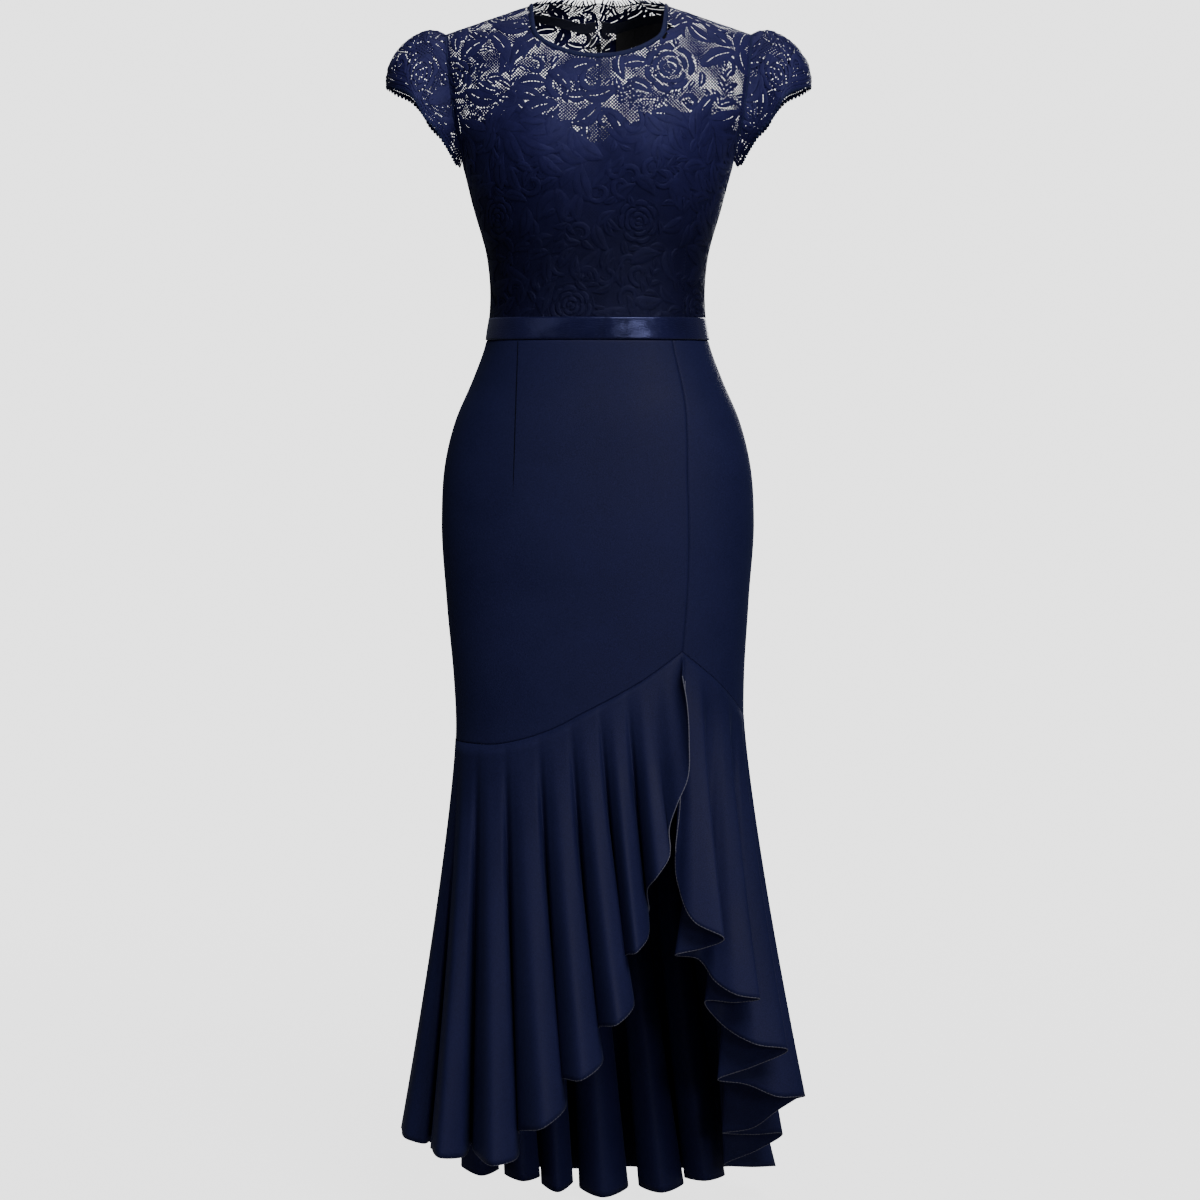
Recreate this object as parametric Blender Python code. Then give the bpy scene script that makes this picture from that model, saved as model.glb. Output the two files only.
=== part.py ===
"""A navy fishtail dress, filled out as if worn: lace bodice, satin waist ribbon, fitted skirt and cascade flounce.

Metres, +Z up, front faces -Y. Left and right are as the front is seen. The origin is midway between the
high points of the shoulders, where a wearer holds the dress up. Every cloth piece is a thin wall lofted
through sections of one body form, or ruled from the flounce seam to a folded hem.
"""

import math

import bmesh
import bpy
import numpy as np
from mathutils import Matrix, Vector

# Cloth
CREPE = 0.0012
LACE = 0.0010
LINING = 0.0010
RIBBON = 0.0010
TAPE = 0.0010
SEAM_GAP = 0.0003
HALF_GAP = SEAM_GAP / 2
STEP = 0.0008

# Sides of the body
FRONT = -1
BACK = 1

# Heights, from the high points of the shoulders
WAIST = -0.3895
RIBBON_TOP = -0.3635
SKIRT_TOP = WAIST - SEAM_GAP
CHEST = -0.140
LINING_BACK_TOP = -0.150
LINING_BACK_DIP = 0.040
FLOUNCE_SEAM_LEVEL = -0.867

# Slit above the zip
SLIT_TOP = -0.026
SLIT_END = -0.052
SLIT_HALF_WIDTH = 0.0040
SLIT_REACH = 0.11
SLIT_TAPER = 1.5

# Shoulders and neck
SHOULDER_HALF = 0.180
SHOULDER_RISE = 0.0335
SHOULDER_SLOPE = 0.347
RIDGE_SOFTNESS = 0.020
NECK_SHARE = 0.461
NECK_BAND_WIDTH = 0.0050
NECK_BAND_THICKNESS = 0.0018
NECK_BAND_PROUD = 0.0004
ROUNDNESS = 2.3

# Necklines, as shares of the way up from the chest to the ridge. The front's is its low point and then terms
# of rising power towards the shoulder, so it lies almost level and turns up sharply at its corners.
FRONT_NECK_LOW = 0.300
FRONT_NECK_RISES = ((2, 0.200), (6, 0.046), (40, 0.454))
BACK_NECK_LOW = 0.735
BACK_NECK_POWER = 1.8
SCALLOP_DEPTH = 0.022
SCALLOP_LENGTH = 0.92
SCALLOP_PEAK = 0.72
SCALLOP_FADE = 6

# The body form, a row for each level.
FORM_COLUMNS = ("z", "half_width", "reach", "front", "back", "centre")
FORM = (
    (-0.900, 0.1762, 1.000, 0.096, 0.098, 0.0036),
    (-0.845, 0.1735, 1.000, 0.096, 0.097, 0.0028),
    (-0.796, 0.1743, 1.000, 0.097, 0.098, 0.0018),
    (-0.700, 0.1812, 1.000, 0.100, 0.108, 0.0006),
    (-0.604, 0.1869, 1.000, 0.103, 0.120, 0.0004),
    (-0.532, 0.1812, 1.000, 0.102, 0.119, 0.0000),
    (-0.484, 0.1688, 1.000, 0.100, 0.108, 0.0000),
    (-0.437, 0.1490, 1.000, 0.096, 0.092, 0.0000),
    (-0.390, 0.1325, 1.000, 0.093, 0.078, 0.0000),
    (-0.348, 0.1275, 1.000, 0.092, 0.074, 0.0000),
    (-0.290, 0.1312, 1.000, 0.096, 0.077, 0.0000),
    (-0.235, 0.1463, 1.000, 0.103, 0.084, 0.0000),
    (-0.188, 0.1586, 1.000, 0.110, 0.093, 0.0004),
    (-0.163, 0.1660, 0.975, 0.111, 0.097, 0.0008),
    (-0.134, 0.1795, 0.942, 0.109, 0.101, 0.0012),
    (-0.105, 0.1840, 0.939, 0.105, 0.106, 0.0015),
    (-0.074, 0.1900, 0.930, 0.099, 0.112, 0.0015),
    (-0.033, 0.2000, 0.903, 0.093, 0.118, 0.0015),
    (0.016, 0.2050, 0.873, 0.086, 0.122, 0.0015),
)
CUP_X = 0.072
CUP_Z = -0.178
CUP_WIDTH = 0.036
CUP_HEIGHT = 0.044
CUP_DEPTH = 0.013

# Top edge of the front lining: a sweetheart.
SWEETHEART = (
    (-1.00, -0.150),
    (-0.72, -0.133),
    (-0.46, -0.128),
    (-0.22, -0.144),
    (-0.01, -0.165),
    (0.16, -0.148),
    (0.38, -0.134),
    (0.58, -0.129),
    (0.79, -0.130),
    (1.00, -0.150),
)

# Front lining's side seams, as shares of the half width.
LINING_SEAM_LEFT = -0.72
LINING_SEAM_RIGHT = 0.79

# Seam from the waist down to the flounce's point.
FRONT_SEAM = (
    (-0.780, 0.552),
    (-0.684, 0.576),
    (-0.600, 0.570),
    (-0.540, 0.576),
    (-0.496, 0.606),
    (-0.448, 0.650),
    (-0.390, 0.662),
)

# Flounce seam: share of the half width and height. It has its point where the front seam meets it.
POINT_SHARE = 0.555
FLOUNCE_SEAM_LEFT = (
    (-1.000, -0.867),
    (-0.890, -0.867),
    (-0.730, -0.866),
    (-0.520, -0.858),
    (-0.385, -0.850),
    (-0.255, -0.840),
    (-0.150, -0.830),
    (0.095, -0.808),
    (0.305, -0.787),
    (0.555, -0.755),
)
FLOUNCE_SEAM_RIGHT = (
    (0.555, -0.755),
    (0.660, -0.770),
    (0.830, -0.797),
    (0.970, -0.829),
    (1.000, -0.838),
)
FLOUNCE_FLARE = 1.25
SEAM_TURN = 3
BACK_SEAM_RISE = 3

# Hems of the flounces, a row for each bend. Seam is the share of the seam above it.
HEM_COLUMNS = ("seam", "x", "y", "z")
LEFT_HEM = (
    (0.000, -0.239, 0.000, -1.342),
    (0.035, -0.228, -0.044, -1.346),
    (0.060, -0.206, -0.052, -1.349),
    (0.085, -0.198, -0.030, -1.345),
    (0.110, -0.198, -0.080, -1.345),
    (0.135, -0.185, -0.116, -1.350),
    (0.165, -0.161, -0.106, -1.352),
    (0.195, -0.151, -0.060, -1.347),
    (0.220, -0.143, -0.118, -1.345),
    (0.245, -0.122, -0.151, -1.350),
    (0.280, -0.097, -0.138, -1.347),
    (0.310, -0.094, -0.085, -1.330),
    (0.335, -0.089, -0.140, -1.311),
    (0.365, -0.063, -0.169, -1.301),
    (0.405, -0.039, -0.152, -1.285),
    (0.435, -0.040, -0.098, -1.268),
    (0.460, -0.040, -0.147, -1.248),
    (0.490, -0.018, -0.176, -1.243),
    (0.525, 0.003, -0.160, -1.231),
    (0.555, 0.002, -0.106, -1.210),
    (0.580, 0.003, -0.150, -1.186),
    (0.605, 0.023, -0.176, -1.178),
    (0.640, 0.040, -0.160, -1.165),
    (0.665, 0.036, -0.110, -1.136),
    (0.690, 0.033, -0.144, -1.103),
    (0.715, 0.045, -0.167, -1.096),
    (0.745, 0.057, -0.153, -1.085),
    (0.770, 0.060, -0.115, -1.056),
    (0.795, 0.058, -0.140, -1.026),
    (0.820, 0.068, -0.158, -1.010),
    (0.850, 0.083, -0.150, -0.988),
    (0.885, 0.083, -0.143, -0.955),
    (0.915, 0.092, -0.144, -0.927),
    (0.940, 0.104, -0.139, -0.899),
    (0.965, 0.106, -0.131, -0.856),
    (0.985, 0.104, -0.122, -0.815),
    (1.000, 0.0985, -0.110, -0.781),
)
RIGHT_HEM = (
    (0.000, 0.1030, -0.099, -0.788),
    (0.015, 0.102, -0.105, -0.850),
    (0.030, 0.097, -0.113, -0.930),
    (0.050, 0.093, -0.132, -1.020),
    (0.110, 0.112, -0.156, -1.062),
    (0.190, 0.147, -0.160, -1.081),
    (0.250, 0.125, -0.138, -1.096),
    (0.310, 0.091, -0.126, -1.107),
    (0.360, 0.118, -0.112, -1.114),
    (0.420, 0.138, -0.127, -1.138),
    (0.470, 0.162, -0.138, -1.151),
    (0.530, 0.190, -0.132, -1.157),
    (0.580, 0.162, -0.110, -1.166),
    (0.630, 0.127, -0.096, -1.168),
    (0.680, 0.147, -0.090, -1.196),
    (0.740, 0.186, -0.108, -1.216),
    (0.800, 0.225, -0.096, -1.225),
    (0.850, 0.186, -0.074, -1.250),
    (0.890, 0.144, -0.060, -1.270),
    (0.930, 0.176, -0.054, -1.276),
    (0.955, 0.216, -0.056, -1.291),
    (0.980, 0.250, -0.036, -1.295),
    (1.000, 0.241, -0.014, -1.303),
)
BACK_HEM = (
    (0.000, 0.241, -0.014, -1.303),
    (0.030, 0.219, -0.003, -1.320),
    (0.060, 0.188, 0.008, -1.345),
    (0.085, 0.153, 0.016, -1.353),
    (0.110, 0.190, 0.028, -1.358),
    (0.140, 0.228, 0.044, -1.361),
    (0.170, 0.196, 0.060, -1.386),
    (0.195, 0.157, 0.062, -1.404),
    (0.220, 0.188, 0.080, -1.412),
    (0.250, 0.222, 0.104, -1.417),
    (0.280, 0.196, 0.160, -1.432),
    (0.305, 0.160, 0.166, -1.434),
    (0.325, 0.157, 0.112, -1.432),
    (0.345, 0.134, 0.086, -1.431),
    (0.370, 0.111, 0.112, -1.434),
    (0.390, 0.124, 0.178, -1.440),
    (0.410, 0.097, 0.188, -1.441),
    (0.430, 0.106, 0.116, -1.444),
    (0.450, 0.080, 0.086, -1.446),
    (0.475, 0.054, 0.116, -1.446),
    (0.495, 0.060, 0.188, -1.441),
    (0.520, 0.032, 0.194, -1.441),
    (0.540, 0.036, 0.122, -1.450),
    (0.565, 0.007, 0.090, -1.453),
    (0.590, -0.021, 0.122, -1.450),
    (0.610, -0.013, 0.192, -1.444),
    (0.630, -0.044, 0.194, -1.444),
    (0.650, -0.033, 0.122, -1.444),
    (0.670, -0.050, 0.096, -1.448),
    (0.695, -0.069, 0.120, -1.444),
    (0.715, -0.058, 0.184, -1.440),
    (0.740, -0.088, 0.180, -1.438),
    (0.760, -0.074, 0.112, -1.433),
    (0.780, -0.094, 0.081, -1.430),
    (0.805, -0.115, 0.108, -1.429),
    (0.825, -0.108, 0.172, -1.432),
    (0.850, -0.137, 0.164, -1.430),
    (0.865, -0.125, 0.102, -1.421),
    (0.885, -0.146, 0.070, -1.420),
    (0.910, -0.168, 0.092, -1.415),
    (0.930, -0.165, 0.142, -1.414),
    (0.955, -0.206, 0.112, -1.398),
    (0.975, -0.205, 0.050, -1.374),
    (1.000, -0.239, 0.000, -1.342),
)

# Cap sleeve: free edge from the front underarm over the top to the back underarm.
SLEEVE_COLUMNS = ("around", "x", "y", "z", "puff")
SLEEVE_EDGE = (
    (0.00, 0.1650, -0.006, -0.1860, 0.000),
    (0.08, 0.1750, -0.028, -0.1680, 0.001),
    (0.16, 0.1870, -0.048, -0.1480, 0.004),
    (0.24, 0.2040, -0.057, -0.1280, 0.008),
    (0.32, 0.2160, -0.055, -0.1070, 0.014),
    (0.38, 0.2290, -0.046, -0.0980, 0.019),
    (0.44, 0.2440, -0.028, -0.0930, 0.023),
    (0.50, 0.2520, 0.000, -0.0900, 0.024),
    (0.56, 0.2450, 0.030, -0.0940, 0.023),
    (0.62, 0.2290, 0.048, -0.1000, 0.019),
    (0.68, 0.2160, 0.058, -0.1100, 0.014),
    (0.76, 0.2040, 0.060, -0.1300, 0.008),
    (0.84, 0.1870, 0.050, -0.1500, 0.004),
    (0.92, 0.1750, 0.029, -0.1690, 0.001),
    (1.00, 0.1650, 0.006, -0.1860, 0.000),
)
SLEEVE_CENTRE = 0.0015
SLEEVE_STEPS = (0.0, 0.15, 0.32, 0.52, 0.75, 1.0)
SLEEVE_START = 1 / 4
SLEEVE_END = 1 / 3
PUFF_OUT = 1.25
PUFF_UP = 0.75

# Flounce grids
FLOUNCE_ROWS = np.array([0.0, 0.14, 0.38, 0.68, 1.0])
LEFT_COLUMNS = 80
RIGHT_COLUMNS = 48
BACK_COLUMNS = 84

# Zip
CHAIN_HALF_WIDTH = 0.0026
CHAIN_THICKNESS = 0.0020
TAPE_INNER = 0.0031
TAPE_OUTER = 0.0140
INSIDE_LINING = LACE + LINING + 2 * SEAM_GAP
SLIDER_HALF_WIDTH = 0.0026
SLIDER_HEIGHT = 0.0100
SLIDER_INSIDE = 0.0060
SLIDER_OUTSIDE = 0.0014
SLIDER_LIFT = 0.0014
BRIDGE_HALF_WIDTH = 0.0008
BRIDGE_BAR = 0.0010
PIVOT_OUT = 0.0022
EYE_HALF = 0.0006
EYE_CLEARANCE = 0.0005
EYE_WIDTH = 0.0030
EYE_LENGTH = 0.0032
PULL_HALF_WIDTH = 0.0030
PULL_TAPER = 0.0006
PULL_LENGTH = 0.0240
PULL_THICKNESS = 0.0012
PULL_ROUND_STEPS = 9
MERGE = 0.00001

# Edges sharper than this stay sharp in the shading.
CREASE = math.radians(50)

# Colours
NAVY = (0.010, 0.014, 0.048, 1.0)
LACE_NAVY = (0.014, 0.018, 0.070, 1.0)
LINING_NAVY = (0.009, 0.012, 0.040, 1.0)
SATIN_NAVY = (0.008, 0.010, 0.035, 1.0)
TAPE_NAVY = (0.006, 0.007, 0.020, 1.0)
ZIP_METAL = (0.030, 0.034, 0.060, 1.0)


def smooth(knots, values, at):
    """Values at the wanted places on a smooth curve through the knots."""
    knots = np.asarray(knots, float)
    values = np.asarray(values, float)
    at = np.asarray(at, float)
    slopes = np.gradient(values, knots, axis=0)
    i = np.clip(np.searchsorted(knots, at, side="right") - 1, 0, len(knots) - 2)
    width = knots[i + 1] - knots[i]
    t = (at - knots[i]) / width
    if values.ndim > 1:
        width = width[..., None]
        t = t[..., None]
    start = (1 + 2 * t) * (1 - t) ** 2 * values[i] + t * (1 - t) ** 2 * width * slopes[i]
    end = t**2 * (3 - 2 * t) * values[i + 1] + t**2 * (t - 1) * width * slopes[i + 1]
    return start + end


def column(table, columns, name):
    """One named column of a table."""
    return [row[columns.index(name)] for row in table]


def form(name, z):
    """One measure of the body form at a height."""
    return smooth(column(FORM, FORM_COLUMNS, "z"), column(FORM, FORM_COLUMNS, name), z)


def unit(vectors):
    return vectors / np.maximum(np.linalg.norm(vectors, axis=-1, keepdims=True), 1e-12)


def lengths(points):
    """Distance along a line of points at each of them, as a share of the whole."""
    run = np.concatenate([[0.0], np.cumsum(np.linalg.norm(np.diff(points, axis=0), axis=1))])
    return run / run[-1]


def along_line(points, values, at):
    """Values interpolated straight between the points of a line, at shares of its length."""
    run = lengths(points)
    return np.stack([np.interp(at, run, values[:, k]) for k in range(values.shape[1])], axis=-1)


def shares(angles):
    """Shares of the half width that are evenly spread round a section."""
    return np.sin(np.asarray(angles) * math.pi / 2)


def angle_of(share):
    return math.asin(share) * 2 / math.pi


def shoulder_height(share):
    """Height of the shoulder ridge above a share of the half width, carried on over the neck."""
    across = np.abs(share) * SHOULDER_HALF
    return SHOULDER_RISE - SHOULDER_SLOPE * np.sqrt(across**2 + RIDGE_SOFTNESS**2)


def body_point(side, share, z):
    """A point of the body form: side is FRONT or BACK, and share runs from -1 to 1 across."""
    ridge = shoulder_height(share)
    climb = np.clip((z - CHEST) / (ridge - CHEST), 0.0, 1.0)
    dome = np.sqrt(1.0 - climb**2)
    reach = np.minimum(form("reach", z), 1.0)
    across = np.clip(np.abs(share) * reach, 0.0, 1.0)
    profile = (1.0 - across**ROUNDNESS) ** (1.0 / ROUNDNESS)
    x = share * form("half_width", z) * reach
    if side == FRONT:
        far = ((np.abs(x) - CUP_X) / CUP_WIDTH) ** 2 + ((z - CUP_Z) / CUP_HEIGHT) ** 2
        depth = form("front", z) + CUP_DEPTH * np.exp(-far / 2)
    else:
        depth = form("back", z)
    return np.stack([x + form("centre", z), side * depth * profile * dome, z + 0.0 * x], axis=-1)


class Wall:
    """A thin cloth wall: a grid of points and outward normals, with seam gaps at some edges."""

    def __init__(self, points, normals, facing, gaps=()):
        self.points = points
        self.normals = normals
        self.facing = facing
        self.gaps = gaps

    def part(self, rows, columns, gaps=()):
        """The same points over some of the rows and columns, for what lies on this wall."""
        points = self.points[rows[0] : rows[1] + 1, columns[0] : columns[1] + 1]
        normals = self.normals[rows[0] : rows[1] + 1, columns[0] : columns[1] + 1]
        return Wall(points, normals, self.facing, gaps)

    def trimmed(self):
        """The points with each seamed edge drawn back by half the seam gap."""
        p = self.points.copy()
        if "left" in self.gaps:
            p[:, 0] += unit(self.points[:, 1] - self.points[:, 0]) * HALF_GAP
        if "right" in self.gaps:
            p[:, -1] += unit(self.points[:, -2] - self.points[:, -1]) * HALF_GAP
        if "bottom" in self.gaps:
            p[0] += unit(self.points[1] - self.points[0]) * HALF_GAP
        if "top" in self.gaps:
            p[-1] += unit(self.points[-2] - self.points[-1]) * HALF_GAP
        return p


def surface_wall(surface, across, up, facing, gaps=("left", "right", "bottom", "top")):
    """A wall on a surface, at the given places across and up."""
    s, v = np.meshgrid(across, up)
    s_low = np.maximum(s - STEP, min(across))
    s_high = np.minimum(s + STEP, max(across))
    v_low = np.maximum(v - STEP, min(up))
    v_high = np.minimum(v + STEP, max(up))
    along = surface(s_high, v) - surface(s_low, v)
    upward = surface(s, v_high) - surface(s, v_low)
    return Wall(surface(s, v), unit(np.cross(along, upward)) * facing, facing, gaps)


# Grids that the bodice, its lining and its ribbon have in common.
NECK_ANGLE = angle_of(NECK_SHARE)
FRONT_ANGLES = np.array(
    [-1.0, -0.86, -0.68, angle_of(LINING_SEAM_LEFT), -0.41, -NECK_ANGLE, -0.28, -0.20, -0.10]
    + [0.0, 0.10, 0.20, 0.28, NECK_ANGLE, 0.44, angle_of(LINING_SEAM_RIGHT), 0.72, 0.86, 1.0]
)
LEFT_SEAM_COLUMN = 3
RIGHT_SEAM_COLUMN = 15
NECK_COLUMNS = (5, 13)
BACK_ANGLES = np.array([0.0, 0.075, 0.155, 0.235, NECK_ANGLE, 0.44, 0.60, 0.80, 1.0])
BACK_NECK_COLUMN = 4
BODICE_ROWS = np.array([0.0, 0.08, 0.22, 0.37, 0.497, 0.537, 0.60, 0.68, 0.77, 0.865, 0.915, 0.945, 1.0])
RIBBON_ROW = 1
UNDERARM_ROW = 5
LINING_ROW = 6
LABEL_ROWS = (9, 10)
NECK_TAPE_ROWS = (10, 11)
CHAIN_ROW = 9
ZIP_TAPE_ROW = 10
TOP_ROW = 12
SKIRT_ROWS = np.array([0.0, 0.14, 0.272, 0.43, 0.60, 0.78, 0.91, 1.0])
SKIRT_FRONT_COLUMNS = 13
SKIRT_RIGHT_COLUMNS = 6
ZIP_END_ROW = 2


def sweetheart(share):
    return smooth([row[0] for row in SWEETHEART], [row[1] for row in SWEETHEART], share)


def bodice_height(share, v, top, lining_top):
    """Heights of the bodice's rows: level at the waist, along the lining's top edge, and up over the dome.

    Top says how far up the dome the panel's upper edge lies: 1 is the shoulder ridge.
    """
    lining_v = BODICE_ROWS[LINING_ROW]
    ribbon_v = BODICE_ROWS[RIBBON_ROW]
    low = WAIST + (RIBBON_TOP - WAIST) * v / ribbon_v
    middle = RIBBON_TOP + (lining_top - RIBBON_TOP) * (v - ribbon_v) / (lining_v - ribbon_v)
    ridge = shoulder_height(share)
    start = np.arcsin((lining_top - CHEST) / (ridge - CHEST))
    turn = start + (top * math.pi / 2 - start) * (v - lining_v) / (1.0 - lining_v)
    high = CHEST + (ridge - CHEST) * np.sin(np.clip(turn, -math.pi / 2, math.pi / 2))
    return np.where(v <= ribbon_v, low, np.where(v <= lining_v, middle, high))


def front_neck(share):
    """How far up the dome the lace's front neckline lies, under its band."""
    r = np.minimum(np.abs(share) / NECK_SHARE, 1.0)
    return FRONT_NECK_LOW + sum(rise * r**power for power, rise in FRONT_NECK_RISES)


def back_neck(share):
    """How far up the dome the lace's scalloped back neckline lies."""
    r = np.minimum(np.abs(share) / NECK_SHARE, 1.0)
    wave = np.cos(2 * math.pi * (r - SCALLOP_PEAK) / SCALLOP_LENGTH) * (1 - r**SCALLOP_FADE)
    return BACK_NECK_LOW + (1 - BACK_NECK_LOW) * r**BACK_NECK_POWER + SCALLOP_DEPTH * wave


def back_lining_top(share):
    """Top edge of the back lining: level with the front's at the sides and lower at the centre."""
    return LINING_BACK_TOP - LINING_BACK_DIP * (1.0 - share**2)


def front_bodice(s, v):
    share = shares(s)
    z = bodice_height(share, v, front_neck(share), sweetheart(share))
    return body_point(FRONT, share, z)


def slit(z):
    """Half the opening at the centre back: the slit above the zip narrows to a closed seam."""
    open_share = np.clip((z - SLIT_END) / (SLIT_TOP - SLIT_END), 0.0, 1.0)
    return SLIT_HALF_WIDTH * open_share**SLIT_TAPER


def back_bodice(hand):
    """The back half on the left for hand -1 or the right for 1, from the slit out to the side."""

    def surface(s, v):
        share = shares(s)
        z = bodice_height(share, v, back_neck(share), back_lining_top(share))
        gap = slit(z) / form("half_width", z)
        share = share + gap * np.maximum(1.0 - share / SLIT_REACH, 0.0)
        z = bodice_height(share, v, back_neck(share), back_lining_top(share))
        return body_point(BACK, hand * share, z)

    return surface


def flounce_seam_height(side, share):
    """Height of the flounce seam all round."""
    if side == BACK:
        rise = FLOUNCE_SEAM_RIGHT[-1][1] - FLOUNCE_SEAM_LEVEL
        return FLOUNCE_SEAM_LEVEL + rise * ((share + 1) / 2) ** BACK_SEAM_RISE
    left = smooth(*zip(*FLOUNCE_SEAM_LEFT), np.minimum(share, POINT_SHARE))
    right = smooth(*zip(*FLOUNCE_SEAM_RIGHT), np.maximum(share, POINT_SHARE))
    return np.where(share <= POINT_SHARE, left, right)


def skirt_height(side, share, v):
    """Heights of the skirt's rows, which turn from level at the waist to the flounce seam's line."""
    level = SKIRT_TOP + (FLOUNCE_SEAM_LEVEL - SKIRT_TOP) * v
    return level + (flounce_seam_height(side, share) - FLOUNCE_SEAM_LEVEL) * v**SEAM_TURN


def front_skirt(hand):
    """The main front for hand -1, and the narrow front right of the long seam for 1."""

    def surface(s, v):
        level = skirt_height(FRONT, POINT_SHARE + 0.0 * s, v)
        seam = np.arcsin(smooth(*zip(*FRONT_SEAM), level)) * 2 / math.pi
        angle = -1 + (seam + 1) * s if hand < 0 else seam + (1 - seam) * s
        share = shares(angle)
        return body_point(FRONT, share, skirt_height(FRONT, share, v))

    return surface


def back_skirt(hand):
    def surface(s, v):
        share = hand * shares(s)
        return body_point(BACK, share, skirt_height(BACK, share, v))

    return surface


def seam_of(walls):
    """Points and normals along the flounce seam, from the bottom rows of skirt walls in turn."""
    points = np.concatenate([w.points[0] for w in walls])
    normals = np.concatenate([w.normals[0] for w in walls])
    keep = np.concatenate([[True], np.linalg.norm(np.diff(points, axis=0), axis=1) > HALF_GAP])
    return points[keep], normals[keep]


def flounce(hem, seam, columns):
    """A wall ruled from the flounce seam down to a folded hem, hem row first, flaring as it falls."""
    seam_points, seam_normals = seam
    places = np.array([row[1:] for row in hem])
    run = lengths(places)
    seam_shares = column(hem, HEM_COLUMNS, "seam")

    def surface(s, v):
        t = np.clip(smooth(run, seam_shares, s), 0.0, 1.0)
        top = along_line(seam_points, seam_points, t)
        low = smooth(run, places, s)
        fall = 1.0 - v[..., None]
        level = top[..., :2] + (low - top)[..., :2] * fall**FLOUNCE_FLARE
        return np.concatenate([level, top[..., 2:] + (low - top)[..., 2:] * fall], axis=-1)

    across = np.linspace(0.0, 1.0, columns)
    wall = surface_wall(surface, across, 1.0 - FLOUNCE_ROWS[::-1], 1, ("left", "right", "top"))
    t = np.clip(smooth(run, seam_shares, across), 0.0, 1.0)
    wall.normals[-1] = unit(along_line(seam_points, seam_normals, t))
    return wall


def join(before, after):
    """Gives two walls that meet at a seam down the flounce the same normals along it."""
    shared = unit(before.normals[:, -1] + after.normals[:, 0])
    before.normals[:, -1] = shared
    after.normals[:, 0] = shared


def edge_strip(wall, columns, width):
    """A strip of a given width that carries on past the top edge of a wall."""
    edge = wall.points[-1, columns[0] : columns[1] + 1]
    normals = wall.normals[-1, columns[0] : columns[1] + 1]
    ways = unit(np.diff(edge, axis=0))
    before = np.concatenate([ways[:1], ways])
    after = np.concatenate([ways, ways[-1:]])
    mitre = 1.0 / np.linalg.norm(before + after, axis=1, keepdims=True) * 2
    onward = unit(np.cross(normals, before + after)) * wall.facing * mitre
    points = np.stack([edge + onward * SEAM_GAP, edge + onward * (SEAM_GAP + width)])
    return Wall(points, np.stack([normals, normals]), wall.facing)


def bezier(a, b, c, d, t):
    return a * (1 - t) ** 3 + b * 3 * t * (1 - t) ** 2 + c * 3 * t**2 * (1 - t) + d * t**3


def sleeve(hand, front, back, front_column):
    """A cap sleeve from the armhole's own points out to its free edge, from the front round to the back."""
    rows = list(range(UNDERARM_ROW, TOP_ROW + 1))
    edge = np.concatenate([front.points[rows, front_column], back.points[rows[-2::-1], -1]])
    normals = np.concatenate([front.normals[rows, front_column], back.normals[rows[-2::-1], -1]])
    around = lengths(edge)
    free = smooth(column(SLEEVE_EDGE, SLEEVE_COLUMNS, "around"), np.array([r[1:] for r in SLEEVE_EDGE]), around)
    tip = free[:, :3] * np.array([hand, 1.0, 1.0]) + np.array([SLEEVE_CENTRE, 0.0, 0.0])
    away = unit(np.cross(unit(np.gradient(edge, around, axis=0)), normals))
    away *= np.sign((away * (tip - edge)).sum(axis=1, keepdims=True))
    start = edge + away * SEAM_GAP
    reach = np.linalg.norm(tip - start, axis=1)[:, None]
    puff = free[:, 3:]
    first = start + away * reach * SLEEVE_START + normals * puff
    second = tip + (start - tip) * SLEEVE_END + puff * np.array([hand * PUFF_OUT, 0.0, PUFF_UP])
    points = np.array([bezier(start, first, second, tip, t) for t in SLEEVE_STEPS])
    turned = unit(np.cross(np.gradient(points, axis=1), np.gradient(points, axis=0)))
    facing = int(np.sign((turned[0] * normals).sum()))
    turned *= facing
    turned[0] = normals
    return Wall(points, turned, facing)


def zip_strip(walls, rows, inner, outer):
    """A strip beside the centre line down a back half, on the first column of its walls."""
    points = np.concatenate([w.points[a : b + 1, :2] for w, (a, b) in zip(walls, rows)])
    normals = np.concatenate([w.normals[a : b + 1, :2] for w, (a, b) in zip(walls, rows)])
    across = points[:, 1] - points[:, 0]
    centre = form("centre", points[:, 0, 2])
    hand = np.sign(across[:, 0])
    near = np.maximum(inner, np.abs(points[:, 0, 0] - centre) + inner - TAPE_INNER)
    far = outer + 0.0 * near
    edges = []
    for reach in (near, far):
        step = (centre + hand * reach - points[:, 0, 0]) / across[:, 0]
        edges.append(points[:, 0] + across * step[:, None])
    return Wall(np.stack(edges, axis=1), normals, walls[0].facing)


def material(name, colour, roughness, metallic=0.0):
    """A plain material of one colour."""
    made = bpy.data.materials.new(name)
    made.use_nodes = True
    shader = made.node_tree.nodes["Principled BSDF"]
    shader.inputs["Base Color"].default_value = colour
    shader.inputs["Roughness"].default_value = roughness
    shader.inputs["Metallic"].default_value = metallic
    made.diffuse_color = colour
    return made


def add_object(name, mesh, finish, collection):
    """An object for a mesh, with its own copy of a material."""
    own = finish.copy()
    own.name = name + "_" + finish.name
    mesh.materials.append(own)
    made = bpy.data.objects.new(name, mesh)
    collection.objects.link(made)
    return made


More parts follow.
